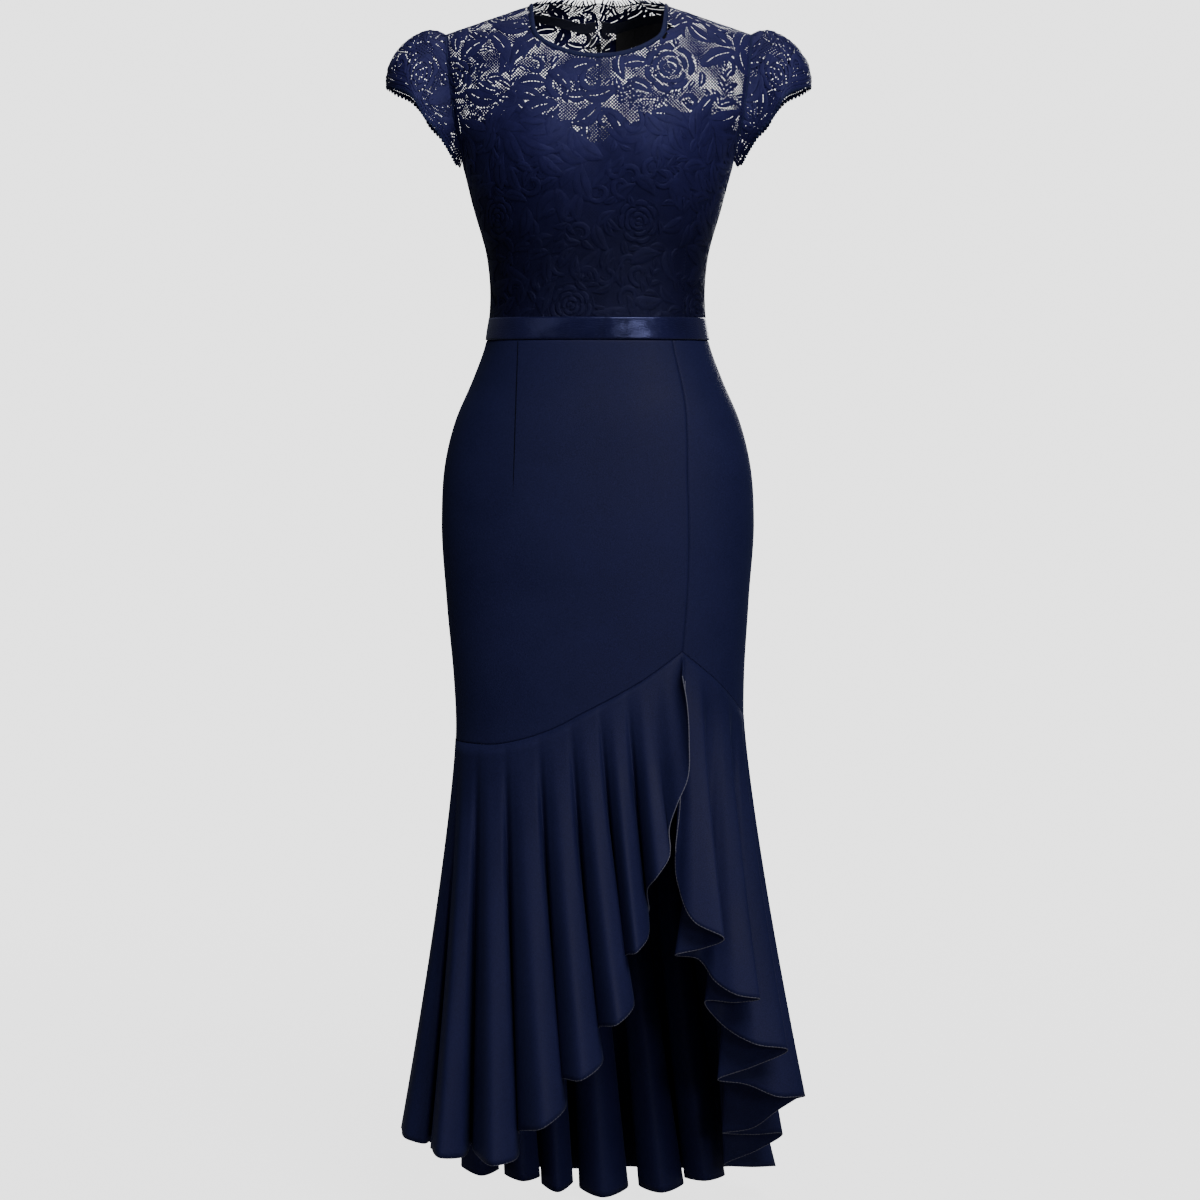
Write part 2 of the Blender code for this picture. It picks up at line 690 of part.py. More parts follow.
def cloth(name, wall, thickness, outset, finish, collection):
    """A closed wall whose outer face lies outset from the grid along its normals."""
    p = wall.trimmed()
    outer = p + wall.normals * outset
    inner = p + wall.normals * (outset - thickness)
    rows, columns = p.shape[:2]
    count = rows * columns
    index = np.arange(count).reshape(rows, columns)
    faces = []
    for r in range(rows - 1):
        for c in range(columns - 1):
            a, b, d, e = index[r, c], index[r, c + 1], index[r + 1, c + 1], index[r + 1, c]
            mirrored = p[r, c, 0] + p[r, c + 1, 0] < 0
            halves = ((a, b, e), (b, d, e)) if mirrored else ((a, b, d), (a, d, e))
            for half in halves:
                faces += [half, tuple(count + i for i in reversed(half))]
    edge = list(index[0, :]) + list(index[1:, -1]) + list(index[-1, -2::-1]) + list(index[-2:0:-1, 0])
    for a, b in zip(edge, edge[1:] + edge[:1]):
        faces.append((b, a, count + a, count + b))
    if wall.facing < 0:
        faces = [tuple(reversed(face)) for face in faces]
    mesh = bpy.data.meshes.new(name)
    vertices = np.concatenate([outer.reshape(-1, 3), inner.reshape(-1, 3)])
    mesh.from_pydata(vertices.tolist(), [], [[int(i) for i in face] for face in faces])
    mesh.shade_smooth()
    mesh.set_sharp_from_angle(angle=CREASE)
    return add_object(name, mesh, finish, collection)


def zip_chain(left, right, finish, collection):
    """The closed chain of teeth, one strip across the two halves, inside the centre back."""
    points = np.stack([left.points[:, 0], right.points[:, 0]], axis=1)
    middle = points.mean(axis=1)
    points = np.stack([middle, middle], axis=1)
    points[:, 0, 0] -= CHAIN_HALF_WIDTH
    points[:, 1, 0] += CHAIN_HALF_WIDTH
    normals = unit(left.normals[:, 0] + right.normals[:, 0])
    normals = np.stack([normals, normals], axis=1)
    wall = Wall(points, normals, -1)
    cloth("zip_chain", wall, CHAIN_THICKNESS, -INSIDE_LINING, finish, collection)


def block(name, low, high, finish, collection):
    """A box between two corners, as its own mesh."""
    shape = bmesh.new()
    centre = (Vector(low) + Vector(high)) / 2
    size = Vector(high) - Vector(low)
    bmesh.ops.create_cube(shape, size=1.0, matrix=Matrix.Translation(centre) @ Matrix.Diagonal((*size, 1.0)))
    mesh = bpy.data.meshes.new(name)
    shape.to_mesh(mesh)
    shape.free()
    return add_object(name, mesh, finish, collection)


def slider(back, finish, collection, cutters):
    """The zip's slider inside the slit, with its bridge outside. Returns where it is."""
    row = CHAIN_ROW
    tangent = unit(back.points[row + 1, 0] - back.points[row, 0])
    seat = back.points[row, 0] + tangent * (SLIDER_HEIGHT / 2 + SLIDER_LIFT)
    lean = math.atan2(tangent[1], tangent[2])
    place = Matrix.Translation((form("centre", seat[2]), seat[1], seat[2])) @ Matrix.Rotation(-lean, 4, "X")
    half = SLIDER_HEIGHT / 2
    body = block(
        "zip_slider",
        (-SLIDER_HALF_WIDTH, -SLIDER_INSIDE, -half),
        (SLIDER_HALF_WIDTH, -SLIDER_OUTSIDE, half),
        finish,
        collection,
    )
    leg = EYE_HALF + EYE_CLEARANCE + BRIDGE_BAR
    outer_face = PIVOT_OUT + EYE_HALF + EYE_CLEARANCE + BRIDGE_BAR
    bridge = block(
        "bridge",
        (-BRIDGE_HALF_WIDTH, -SLIDER_OUTSIDE - BRIDGE_BAR, -leg),
        (BRIDGE_HALF_WIDTH, outer_face, leg),
        finish,
        cutters,
    )
    opening = EYE_HALF + EYE_CLEARANCE
    window = block(
        "bridge_window",
        (-SLIDER_HALF_WIDTH, PIVOT_OUT - opening, -opening),
        (SLIDER_HALF_WIDTH, PIVOT_OUT + opening, opening),
        finish,
        cutters,
    )
    for cutter in (bridge, window):
        cutter.hide_render = True
        cutter.display_type = "WIRE"
        cutter.matrix_world = place
    for operation, cutter in (("UNION", bridge), ("DIFFERENCE", window)):
        cut = body.modifiers.new(cutter.name, "BOOLEAN")
        cut.operation = operation
        cut.object = cutter
    body.matrix_world = place
    return place


def pull_tab(place, finish, collection):
    """The flat tab that hangs from the slider's bridge by its eye, with its origin on the bridge's axis."""
    outline = bpy.data.curves.new("zip_pull", "CURVE")
    outline.dimensions = "2D"
    outline.fill_mode = "BOTH"
    outline.extrude = PULL_THICKNESS / 2
    top = EYE_HALF
    low = EYE_HALF - PULL_LENGTH
    round_part = [
        (PULL_HALF_WIDTH * math.cos(a), low + PULL_HALF_WIDTH - PULL_HALF_WIDTH * math.sin(a))
        for a in np.linspace(0.0, math.pi, PULL_ROUND_STEPS)
    ]
    corner = PULL_HALF_WIDTH - PULL_TAPER
    rim = [(corner, top)] + round_part + [(-corner, top)]
    eye = [
        (EYE_WIDTH / 2, -EYE_HALF),
        (EYE_WIDTH / 2, -EYE_HALF - EYE_LENGTH),
        (-EYE_WIDTH / 2, -EYE_HALF - EYE_LENGTH),
        (-EYE_WIDTH / 2, -EYE_HALF),
    ]
    for points in (rim, eye):
        spline = outline.splines.new("POLY")
        spline.points.add(len(points) - 1)
        for point, (x, y) in zip(spline.points, points):
            point.co = (x, y, 0.0, 1.0)
        spline.use_cyclic_u = True
    flat = bpy.data.objects.new("zip_pull_outline", outline)
    mesh = bpy.data.meshes.new_from_object(flat)
    bpy.data.objects.remove(flat)
    welded = bmesh.new()
    welded.from_mesh(mesh)
    bmesh.ops.remove_doubles(welded, verts=welded.verts[:], dist=MERGE)
    welded.to_mesh(mesh)
    welded.free()
    pull = add_object("zip_pull", mesh, finish, collection)
    upright = Matrix.Rotation(math.pi / 2, 4, "X")
    pull.matrix_world = place @ Matrix.Translation((0.0, PIVOT_OUT, 0.0)) @ upright


def make():
    for old in list(bpy.data.objects):
        bpy.data.objects.remove(old)
    dress = bpy.data.collections.new("fishtail_dress")
    cutters = bpy.data.collections.new("cutters")
    for made in (dress, cutters):
        bpy.context.scene.collection.children.link(made)
    crepe = material("crepe", NAVY, 0.75)
    lace = material("lace", LACE_NAVY, 0.6)
    lining = material("lining", LINING_NAVY, 0.5)
    satin = material("satin", SATIN_NAVY, 0.25)
    tape = material("tape", TAPE_NAVY, 0.8)
    metal = material("zip_metal", ZIP_METAL, 0.35, 0.8)
    under_lace = -(LACE + SEAM_GAP)
    over_lace = RIBBON + SEAM_GAP
    sides = ("left", "right")

    # Bodice
    front = surface_wall(front_bodice, FRONT_ANGLES, BODICE_ROWS, 1)
    last = len(FRONT_ANGLES) - 1
    cloth("bodice_front_lace", front, LACE, 0.0, lace, dress)
    lining_columns = {
        "left": (0, LEFT_SEAM_COLUMN),
        "centre": (LEFT_SEAM_COLUMN, RIGHT_SEAM_COLUMN),
        "right": (RIGHT_SEAM_COLUMN, last),
    }
    for name, columns in lining_columns.items():
        piece = front.part((0, LINING_ROW), columns, sides)
        cloth("lining_front_" + name, piece, LINING, under_lace, lining, dress)
    band = edge_strip(front, NECK_COLUMNS, NECK_BAND_WIDTH)
    cloth("neck_band_front", band, NECK_BAND_THICKNESS, NECK_BAND_PROUD, lace, dress)
    ribbon = front.part((0, RIBBON_ROW), (0, last), sides)
    cloth("waist_ribbon_front", ribbon, RIBBON, over_lace, satin, dress)
    backs = {}
    across = len(BACK_ANGLES) - 1
    for name, hand in (("left", -1), ("right", 1)):
        back = surface_wall(back_bodice(hand), BACK_ANGLES, BODICE_ROWS, -hand)
        backs[name] = back
        cloth("bodice_back_lace_" + name, back, LACE, 0.0, lace, dress)
        piece = back.part((0, LINING_ROW), (0, across), sides)
        cloth("lining_back_" + name, piece, LINING, under_lace, lining, dress)
        piece = back.part((0, RIBBON_ROW), (0, across), sides)
        cloth("waist_ribbon_back_" + name, piece, RIBBON, over_lace, satin, dress)
        piece = back.part(NECK_TAPE_ROWS, (0, BACK_NECK_COLUMN), sides)
        cloth("neck_tape_back_" + name, piece, TAPE, under_lace, tape, dress)
    label = backs["right"].part(LABEL_ROWS, (1, BACK_NECK_COLUMN), ("left", "right", "bottom", "top"))
    cloth("neck_label", label, TAPE, under_lace, satin, dress)

    # Sleeves
    cloth("cap_sleeve_left", sleeve(-1, front, backs["left"], 0), LACE, 0.0, lace, dress)
    cloth("cap_sleeve_right", sleeve(1, front, backs["right"], last), LACE, 0.0, lace, dress)

    # Skirt
    rows = 1.0 - SKIRT_ROWS[::-1]
    main = front_skirt(-1)
    narrow = front_skirt(1)
    skirt = surface_wall(lambda s, v: main(s, 1.0 - v), np.linspace(0, 1, SKIRT_FRONT_COLUMNS), rows, 1)
    cloth("skirt_front", skirt, CREPE, 0.0, crepe, dress)
    side_skirt = surface_wall(lambda s, v: narrow(s, 1.0 - v), np.linspace(0, 1, SKIRT_RIGHT_COLUMNS), rows, 1)
    cloth("skirt_front_right", side_skirt, CREPE, 0.0, crepe, dress)
    skirts = {}
    for name, hand in (("left", -1), ("right", 1)):
        half = back_skirt(hand)
        skirts[name] = surface_wall(lambda s, v, half=half: half(s, 1.0 - v), BACK_ANGLES, rows, -hand)
        cloth("skirt_back_" + name, skirts[name], CREPE, 0.0, crepe, dress)

    # Flounce
    turned = Wall(skirts["right"].points[:, ::-1], skirts["right"].normals[:, ::-1], 1)
    left = flounce(LEFT_HEM, seam_of([skirt]), LEFT_COLUMNS)
    right = flounce(RIGHT_HEM, seam_of([side_skirt]), RIGHT_COLUMNS)
    behind = flounce(BACK_HEM, seam_of([turned, skirts["left"]]), BACK_COLUMNS)
    join(right, behind)
    join(behind, left)
    cloth("flounce_front_left", left, CREPE, 0.0, crepe, dress)
    cloth("flounce_front_right", right, CREPE, 0.0, crepe, dress)
    cloth("flounce_back", behind, CREPE, 0.0, crepe, dress)

    # Zip
    chain_sides = []
    top_row = len(rows) - 1
    for name in ("left", "right"):
        walls = (skirts[name], backs[name])
        zip_rows = ((top_row - ZIP_END_ROW, top_row - 1), (0, ZIP_TAPE_ROW))
        strip = zip_strip(walls, zip_rows, TAPE_INNER, TAPE_OUTER)
        cloth("zip_tape_" + name, strip, TAPE, -INSIDE_LINING, tape, dress)
        chain_rows = ((top_row - ZIP_END_ROW, top_row - 1), (0, CHAIN_ROW))
        points = np.concatenate([w.points[a : b + 1, :1] for w, (a, b) in zip(walls, chain_rows)])
        normals = np.concatenate([w.normals[a : b + 1, :1] for w, (a, b) in zip(walls, chain_rows)])
        chain_sides.append(Wall(points, normals, -1))
    zip_chain(*chain_sides, metal, dress)
    pull_tab(slider(backs["right"], metal, dress, cutters), metal, dress)


make()
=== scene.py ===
"""A navy fishtail dress as it looks: corded lace over a lining, a satin ribbon, crepe skirt and cascade flounce.

Metres, +Z up, front faces -Y, left and right as the front is seen. The dress hangs from its shoulders at the
origin. Each piece is a thin shell on the same body form as its solid, with its folds, seams and lace made one by one.
"""

import math

import bpy
import numpy as np
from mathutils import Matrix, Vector


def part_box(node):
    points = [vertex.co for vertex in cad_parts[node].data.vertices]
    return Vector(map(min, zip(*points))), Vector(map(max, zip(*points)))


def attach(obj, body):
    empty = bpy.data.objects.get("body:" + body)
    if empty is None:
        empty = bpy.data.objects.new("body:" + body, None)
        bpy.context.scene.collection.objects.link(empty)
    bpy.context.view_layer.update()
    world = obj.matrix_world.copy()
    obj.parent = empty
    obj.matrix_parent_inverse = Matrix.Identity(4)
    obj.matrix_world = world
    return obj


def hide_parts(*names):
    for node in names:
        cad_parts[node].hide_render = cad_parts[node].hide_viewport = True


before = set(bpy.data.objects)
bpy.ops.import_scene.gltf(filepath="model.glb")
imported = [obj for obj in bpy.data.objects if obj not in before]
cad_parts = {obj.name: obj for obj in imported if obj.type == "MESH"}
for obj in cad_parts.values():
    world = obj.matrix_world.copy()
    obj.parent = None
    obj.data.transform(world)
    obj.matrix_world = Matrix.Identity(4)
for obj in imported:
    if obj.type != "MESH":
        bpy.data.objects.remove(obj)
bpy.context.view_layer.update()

FRONT = -1
BACK = 1
SIDES = (("left", -1), ("right", 1))

# Heights, from the high points of the shoulders
WAIST = -0.3895
RIBBON_TOP = -0.3635
SKIRT_TOP = -0.3898
CHEST = -0.140
UNDERARM = -0.176
FLOUNCE_SEAM_LEVEL = -0.867
FLOOR = -1.466

# Shoulders, neck and the slit above the zip
SHOULDER_HALF = 0.180
SHOULDER_RISE = 0.0335
SHOULDER_SLOPE = 0.347
RIDGE_SOFTNESS = 0.020
NECK_SHARE = 0.461
ROUNDNESS = 2.3
SLIT_TOP = -0.026
SLIT_END = -0.052
SLIT_HALF_WIDTH = 0.0040
SLIT_REACH = 0.11

# The body form, a row for each level.
FORM_COLUMNS = ("z", "half_width", "reach", "front", "back", "centre")
FORM = (
    (-0.9, 0.1762, 1.0, 0.096, 0.098, 0.0036), (-0.845, 0.1735, 1.0, 0.096, 0.097, 0.0028),
    (-0.796, 0.1743, 1.0, 0.097, 0.098, 0.0018), (-0.7, 0.1812, 1.0, 0.1, 0.108, 0.0006),
    (-0.604, 0.1869, 1.0, 0.103, 0.12, 0.0004), (-0.532, 0.1812, 1.0, 0.102, 0.119, 0.0),
    (-0.484, 0.1688, 1.0, 0.1, 0.108, 0.0), (-0.437, 0.149, 1.0, 0.096, 0.092, 0.0),
    (-0.39, 0.1325, 1.0, 0.093, 0.078, 0.0), (-0.348, 0.1275, 1.0, 0.092, 0.074, 0.0),
    (-0.29, 0.1312, 1.0, 0.096, 0.077, 0.0), (-0.235, 0.1463, 1.0, 0.103, 0.084, 0.0),
    (-0.188, 0.1586, 1.0, 0.11, 0.093, 0.0004), (-0.163, 0.166, 0.975, 0.111, 0.097, 0.0008),
    (-0.134, 0.1795, 0.942, 0.109, 0.101, 0.0012), (-0.105, 0.184, 0.939, 0.105, 0.106, 0.0015),
    (-0.074, 0.19, 0.93, 0.099, 0.112, 0.0015), (-0.033, 0.2, 0.903, 0.093, 0.118, 0.0015),
    (0.016, 0.205, 0.873, 0.086, 0.122, 0.0015),
)
CUP_X = 0.072
CUP_Z = -0.178
CUP_WIDTH = 0.036
CUP_HEIGHT = 0.044
CUP_DEPTH = 0.013

# Top edge of the front lining, and its side seams as shares of the half width.
SWEETHEART = (
    (-1.0, -0.15), (-0.72, -0.133), (-0.46, -0.128), (-0.22, -0.144), (-0.01, -0.165), (0.16, -0.148), (0.38, -0.134),
    (0.58, -0.129), (0.79, -0.13), (1.0, -0.15),
)
LINING_SEAM_LEFT = -0.72
LINING_SEAM_RIGHT = 0.79
LINING_BACK_TOP = -0.150
LINING_BACK_DIP = 0.040

# Seam from the waist down to the flounce's point, and the flounce seam: share of the half width and height.
FRONT_SEAM = (
    (-0.78, 0.552), (-0.684, 0.576), (-0.6, 0.57), (-0.54, 0.576), (-0.496, 0.606), (-0.448, 0.65), (-0.39, 0.662),
)
POINT_SHARE = 0.555
FLOUNCE_SEAM_LEFT = (
    (-1.0, -0.867), (-0.89, -0.867), (-0.73, -0.866), (-0.52, -0.858), (-0.385, -0.85), (-0.255, -0.84),
    (-0.15, -0.83), (0.095, -0.808), (0.305, -0.787), (0.555, -0.755),
)
FLOUNCE_SEAM_RIGHT = (
    (0.555, -0.755), (0.66, -0.77), (0.83, -0.797), (0.97, -0.829), (1.0, -0.838),
)
FLOUNCE_FLARE = 1.25
SKIRT_LENGTH = 0.47

# Hems of the flounces, a row for each bend: share of the seam above it, then the place.
LEFT_HEM = (
    (0.0, -0.239, 0.0, -1.342), (0.035, -0.228, -0.044, -1.346), (0.06, -0.206, -0.052, -1.349),
    (0.085, -0.198, -0.03, -1.345), (0.11, -0.198, -0.08, -1.345), (0.135, -0.185, -0.116, -1.35),
    (0.165, -0.161, -0.106, -1.352), (0.195, -0.151, -0.06, -1.347), (0.22, -0.143, -0.118, -1.345),
    (0.245, -0.122, -0.151, -1.35), (0.28, -0.097, -0.138, -1.347), (0.31, -0.094, -0.085, -1.33),
    (0.335, -0.089, -0.14, -1.311), (0.365, -0.063, -0.169, -1.301), (0.405, -0.039, -0.152, -1.285),
    (0.435, -0.04, -0.098, -1.268), (0.46, -0.04, -0.147, -1.248), (0.49, -0.018, -0.176, -1.243),
    (0.525, 0.003, -0.16, -1.231), (0.555, 0.002, -0.106, -1.21), (0.58, 0.003, -0.15, -1.186),
    (0.605, 0.023, -0.176, -1.178), (0.64, 0.04, -0.16, -1.165), (0.665, 0.036, -0.11, -1.136),
    (0.69, 0.033, -0.144, -1.103), (0.715, 0.045, -0.167, -1.096), (0.745, 0.057, -0.153, -1.085),
    (0.77, 0.06, -0.115, -1.056), (0.795, 0.058, -0.14, -1.026), (0.82, 0.068, -0.158, -1.01),
    (0.85, 0.083, -0.15, -0.988), (0.885, 0.083, -0.143, -0.955), (0.915, 0.092, -0.144, -0.927),
    (0.94, 0.104, -0.139, -0.899), (0.965, 0.106, -0.131, -0.856), (0.985, 0.104, -0.122, -0.815),
    (1.0, 0.0985, -0.11, -0.781),
)
RIGHT_HEM = (
    (0.0, 0.103, -0.099, -0.788), (0.015, 0.102, -0.105, -0.85), (0.03, 0.097, -0.113, -0.93),
    (0.05, 0.093, -0.132, -1.02), (0.11, 0.112, -0.156, -1.062), (0.19, 0.147, -0.16, -1.081),
    (0.25, 0.125, -0.138, -1.096), (0.31, 0.091, -0.126, -1.107), (0.36, 0.118, -0.112, -1.114),
    (0.42, 0.138, -0.127, -1.138), (0.47, 0.162, -0.138, -1.151), (0.53, 0.19, -0.132, -1.157),
    (0.58, 0.162, -0.11, -1.166), (0.63, 0.127, -0.096, -1.168), (0.68, 0.147, -0.09, -1.196),
    (0.74, 0.186, -0.108, -1.216), (0.8, 0.225, -0.096, -1.225), (0.85, 0.186, -0.074, -1.25),
    (0.89, 0.144, -0.06, -1.27), (0.93, 0.176, -0.054, -1.276), (0.955, 0.216, -0.056, -1.291),
    (0.98, 0.25, -0.036, -1.295), (1.0, 0.241, -0.014, -1.303),
)
BACK_HEM = (
    (0.0, 0.241, -0.014, -1.303), (0.03, 0.219, -0.003, -1.32), (0.06, 0.188, 0.008, -1.345),
    (0.085, 0.153, 0.016, -1.353), (0.11, 0.19, 0.028, -1.358), (0.14, 0.228, 0.044, -1.361),
    (0.17, 0.196, 0.06, -1.386), (0.195, 0.157, 0.062, -1.404), (0.22, 0.188, 0.08, -1.412),
    (0.25, 0.222, 0.104, -1.417), (0.28, 0.196, 0.16, -1.432), (0.305, 0.16, 0.166, -1.434),
    (0.325, 0.157, 0.112, -1.432), (0.345, 0.134, 0.086, -1.431), (0.37, 0.111, 0.112, -1.434),
    (0.39, 0.124, 0.178, -1.44), (0.41, 0.097, 0.188, -1.441), (0.43, 0.106, 0.116, -1.444),
    (0.45, 0.08, 0.086, -1.446), (0.475, 0.054, 0.116, -1.446), (0.495, 0.06, 0.188, -1.441),
    (0.52, 0.032, 0.194, -1.441), (0.54, 0.036, 0.122, -1.45), (0.565, 0.007, 0.09, -1.453),
    (0.59, -0.021, 0.122, -1.45), (0.61, -0.013, 0.192, -1.444), (0.63, -0.044, 0.194, -1.444),
    (0.65, -0.033, 0.122, -1.444), (0.67, -0.05, 0.096, -1.448), (0.695, -0.069, 0.12, -1.444),
    (0.715, -0.058, 0.184, -1.44), (0.74, -0.088, 0.18, -1.438), (0.76, -0.074, 0.112, -1.433),
    (0.78, -0.094, 0.081, -1.43), (0.805, -0.115, 0.108, -1.429), (0.825, -0.108, 0.172, -1.432),
    (0.85, -0.137, 0.164, -1.43), (0.865, -0.125, 0.102, -1.421), (0.885, -0.146, 0.07, -1.42),
    (0.91, -0.168, 0.092, -1.415), (0.93, -0.165, 0.142, -1.414), (0.955, -0.206, 0.112, -1.398),
    (0.975, -0.205, 0.05, -1.374), (1.0, -0.239, 0.0, -1.342),
)

# Cap sleeve: free edge from the front underarm over the top to the back underarm, and how far it puffs.
SLEEVE_EDGE = (
    (0.0, 0.165, -0.006, -0.186, 0.0), (0.08, 0.175, -0.028, -0.168, 0.001), (0.16, 0.187, -0.048, -0.148, 0.004),
    (0.24, 0.204, -0.057, -0.128, 0.008), (0.32, 0.216, -0.055, -0.107, 0.014), (0.38, 0.229, -0.046, -0.098, 0.019),
    (0.44, 0.244, -0.028, -0.093, 0.023), (0.5, 0.252, 0.0, -0.09, 0.024), (0.56, 0.245, 0.03, -0.094, 0.023),
    (0.62, 0.229, 0.048, -0.1, 0.019), (0.68, 0.216, 0.058, -0.11, 0.014), (0.76, 0.204, 0.06, -0.13, 0.008),
    (0.84, 0.187, 0.05, -0.15, 0.004), (0.92, 0.175, 0.029, -0.169, 0.001), (1.0, 0.165, 0.006, -0.186, 0.0),
)
SLEEVE_CENTRE = 0.0015
PUFF_OUT = 1.25
PUFF_UP = 0.75

# The cut of each cloth: flat width, length and area, how it is held, what it hangs from or lies on, and its trims.
# A * stands for left and right, in a row's own name for one side in each of two sheets.
SHEETS = (
    (
        "bodice_front_lace_worked",
        (0.448, 0.440, 0.148),
        "hung",
        "lining_worked_centre",
        "neck_band_rolled armhole_seam_* shoulder_seam_* side_seam_*",
    ),
    (
        "bodice_back_lace_worked_left",
        (0.204, 0.446, 0.0782),
        "hung",
        "bodice_front_lace_worked",
        "neck_eyelash_left neck_tape_back_left zip_tape_left",
    ),
    (
        "bodice_back_lace_worked_right",
        (0.204, 0.446, 0.0782),
        "hung",
        "bodice_front_lace_worked",
        "neck_eyelash_right neck_tape_back_right zip_tape_right neck_label",
    ),
    (
        "cap_sleeve_worked_*",
        (0.348, 0.114, 0.0193),
        "hung",
        "bodice_front_lace_worked bodice_back_lace_worked_*",
        "sleeve_edging_*",
    ),
    ("lining_worked_left", (0.105, 0.262, 0.0219), "hung", "bodice_front_lace_worked", ""),
    ("lining_worked_centre", (0.286, 0.268, 0.0580), "hung", "bodice_front_lace_worked", ""),
    ("lining_worked_right", (0.091, 0.265, 0.0188), "hung", "bodice_front_lace_worked", ""),
    ("lining_worked_back_*", (0.205, 0.260, 0.0390), "hung", "bodice_back_lace_worked_*", ""),
    ("waist_ribbon_worked", (0.369, 0.026, 0.00955), "laid", "bodice_front_lace_worked", ""),
    ("waist_ribbon_worked_*", (0.174, 0.026, 0.00447), "laid", "bodice_back_lace_worked_*", ""),
    ("skirt_front_worked", (0.347, 0.487, 0.1466), "hung", "bodice_front_lace_worked", "skirt_dart_1"),
    ("skirt_front_right_worked", (0.151, 0.458, 0.0506), "hung", "bodice_front_lace_worked", ""),
    ("skirt_back_left_worked", (0.251, 0.487, 0.1110), "hung", "bodice_back_lace_worked_left", "skirt_dart_2"),
    ("skirt_back_right_worked", (0.251, 0.481, 0.1075), "hung", "bodice_back_lace_worked_right", "skirt_dart_3"),
    ("flounce_front_left_worked", (0.840, 0.600, 0.2585), "gathered", "skirt_front_worked", "flounce_front_left_hem"),
    (
        "flounce_front_right_worked",
        (0.620, 0.470, 0.1306),
        "gathered",
        "skirt_front_right_worked",
        "flounce_front_right_hem",
    ),
    ("flounce_back_worked", (1.210, 0.700, 0.6029), "gathered", "skirt_back_*_worked", "flounce_back_hem"),
)

# Stage. Lights: name, place, what they face, size, power, and the share of it that diffuse surfaces get.
FLOOR_RADIUS = 2.6
FLOOR_RINGS = 8
FLOOR_SIDES = 96
FLOOR_GLOW = 2.3
SKY = (0.80, 0.88, 1.0, 1.0)
SKY_LIGHT = 0.09
WHITE_SEEN = 3.4
LIGHTS = (
    ("key", (1.3, -2.9, 2.3), (0.0, 0.0, -0.55), 1.7, 190.0, 1.0),
    ("card", (1.45, -3.3, -0.27), (0.0, 0.0, -0.27), 0.5, 22.0, 0.2),
    ("fill", (-2.4, -3.4, 0.7), (0.0, 0.0, -0.8), 2.2, 14.0, 1.0),
    ("top", (0.2, 0.4, 2.2), (0.0, 0.0, -0.4), 1.4, 14.0, 1.0),
    ("behind", (0.8, 3.8, 0.7), (0.0, 0.0, -0.7), 2.0, 90.0, 1.0),
)
CAMERA_TARGET = (0.003, 0.0, -0.700)
CAMERA_DISTANCE = 3.6
CAMERA_TILT = 4.0

# Darts of the skirt: side, place across at the waist and at the dart's point, and the point's height
DARTS = (
    (FRONT, -0.0927, -0.0985, -0.570),
    (BACK, -0.0610, -0.0750, -0.545),
    (BACK, 0.0610, 0.0750, -0.545),
)

# Open net of the yoke: rough place in the front view (pixels of 1200), half width, half height, slant in degrees
YOKE_WINDOWS = (
    (489, 57, 0.016, 0.012, 20), (470, 114, 0.013, 0.019, -20), (538, 62, 0.009, 0.02, -15),
    (553, 99, 0.015, 0.009, -30), (583, 62, 0.009, 0.008, 0), (582, 106, 0.017, 0.008, 25),
    (607, 70, 0.015, 0.012, 30), (599, 134, 0.017, 0.012, 0), (628, 105, 0.018, 0.013, 20), (676, 105, 0.022, 0.01, 8),
    (700, 49, 0.015, 0.012, -30), (709, 84, 0.008, 0.013, 20), (738, 118, 0.008, 0.02, 15), (738, 62, 0.008, 0.01, 0),
    (640, 72, 0.006, 0.008, 0), (512, 40, 0.01, 0.006, 10),
)

# Arcs of holes in the yoke: centre in pixels, the way they face in degrees, radius, degrees they span
YOKE_ARCS = (
    (655, 128, 80, 0.03, 70), (486, 96, 250, 0.024, 80), (540, 30, 262, 0.034, 50), (748, 90, 175, 0.026, 70),
    (452, 110, -10, 0.03, 60),
)

# Open rounds of net: how much of its size in the yoke each one keeps, and sizes and distance of the scattered ones
WINDOW_SHARE = 0.88
WINDOW_SIZES = (0.007, 0.012)
WINDOW_APART = 0.022

# Motifs of the yoke: flowers (place in pixels, size, turn), then scrolls and sprays, which face a way in degrees
YOKE_FLOWERS = ((668, 67, 0.031, 0.2), (456, 74, 0.026, 1.0))
YOKE_CURLS = (
    (566, 80, 250, 0.0250, -1, 0.0052),
    (593, 82, 120, 0.0160, 1, 0.0042),
    (632, 124, 60, 0.0160, -1, 0.0034),
    (508, 96, 200, 0.0150, 1, 0.0036),
    (722, 62, -60, 0.0170, 1, 0.0038),
    (606, 122, 20, 0.0130, 1, 0.0032),
    (690, 104, 170, 0.0140, -1, 0.0034),
    (536, 66, 100, 0.0130, -1, 0.0032),
)
YOKE_SPRAYS = (
    (522, 108, 97, 0.056, 1, 3, 0.42),
    (588, 134, 112, 0.030, -1, 2, 0.40),
    (716, 112, 84, 0.056, -1, 3, 0.42),
    (640, 86, 196, 0.032, 1, 2, 0.44),
)

# Open net of a sleeve: place from its middle, half width and half height
SLEEVE_WINDOWS = (
    (-0.030, 0.024, 0.008, 0.012),
    (0.032, 0.024, 0.008, 0.012),
    (-0.004, 0.066, 0.010, 0.007),
    (-0.078, 0.030, 0.007, 0.009),
    (0.082, 0.030, 0.007, 0.009),
)

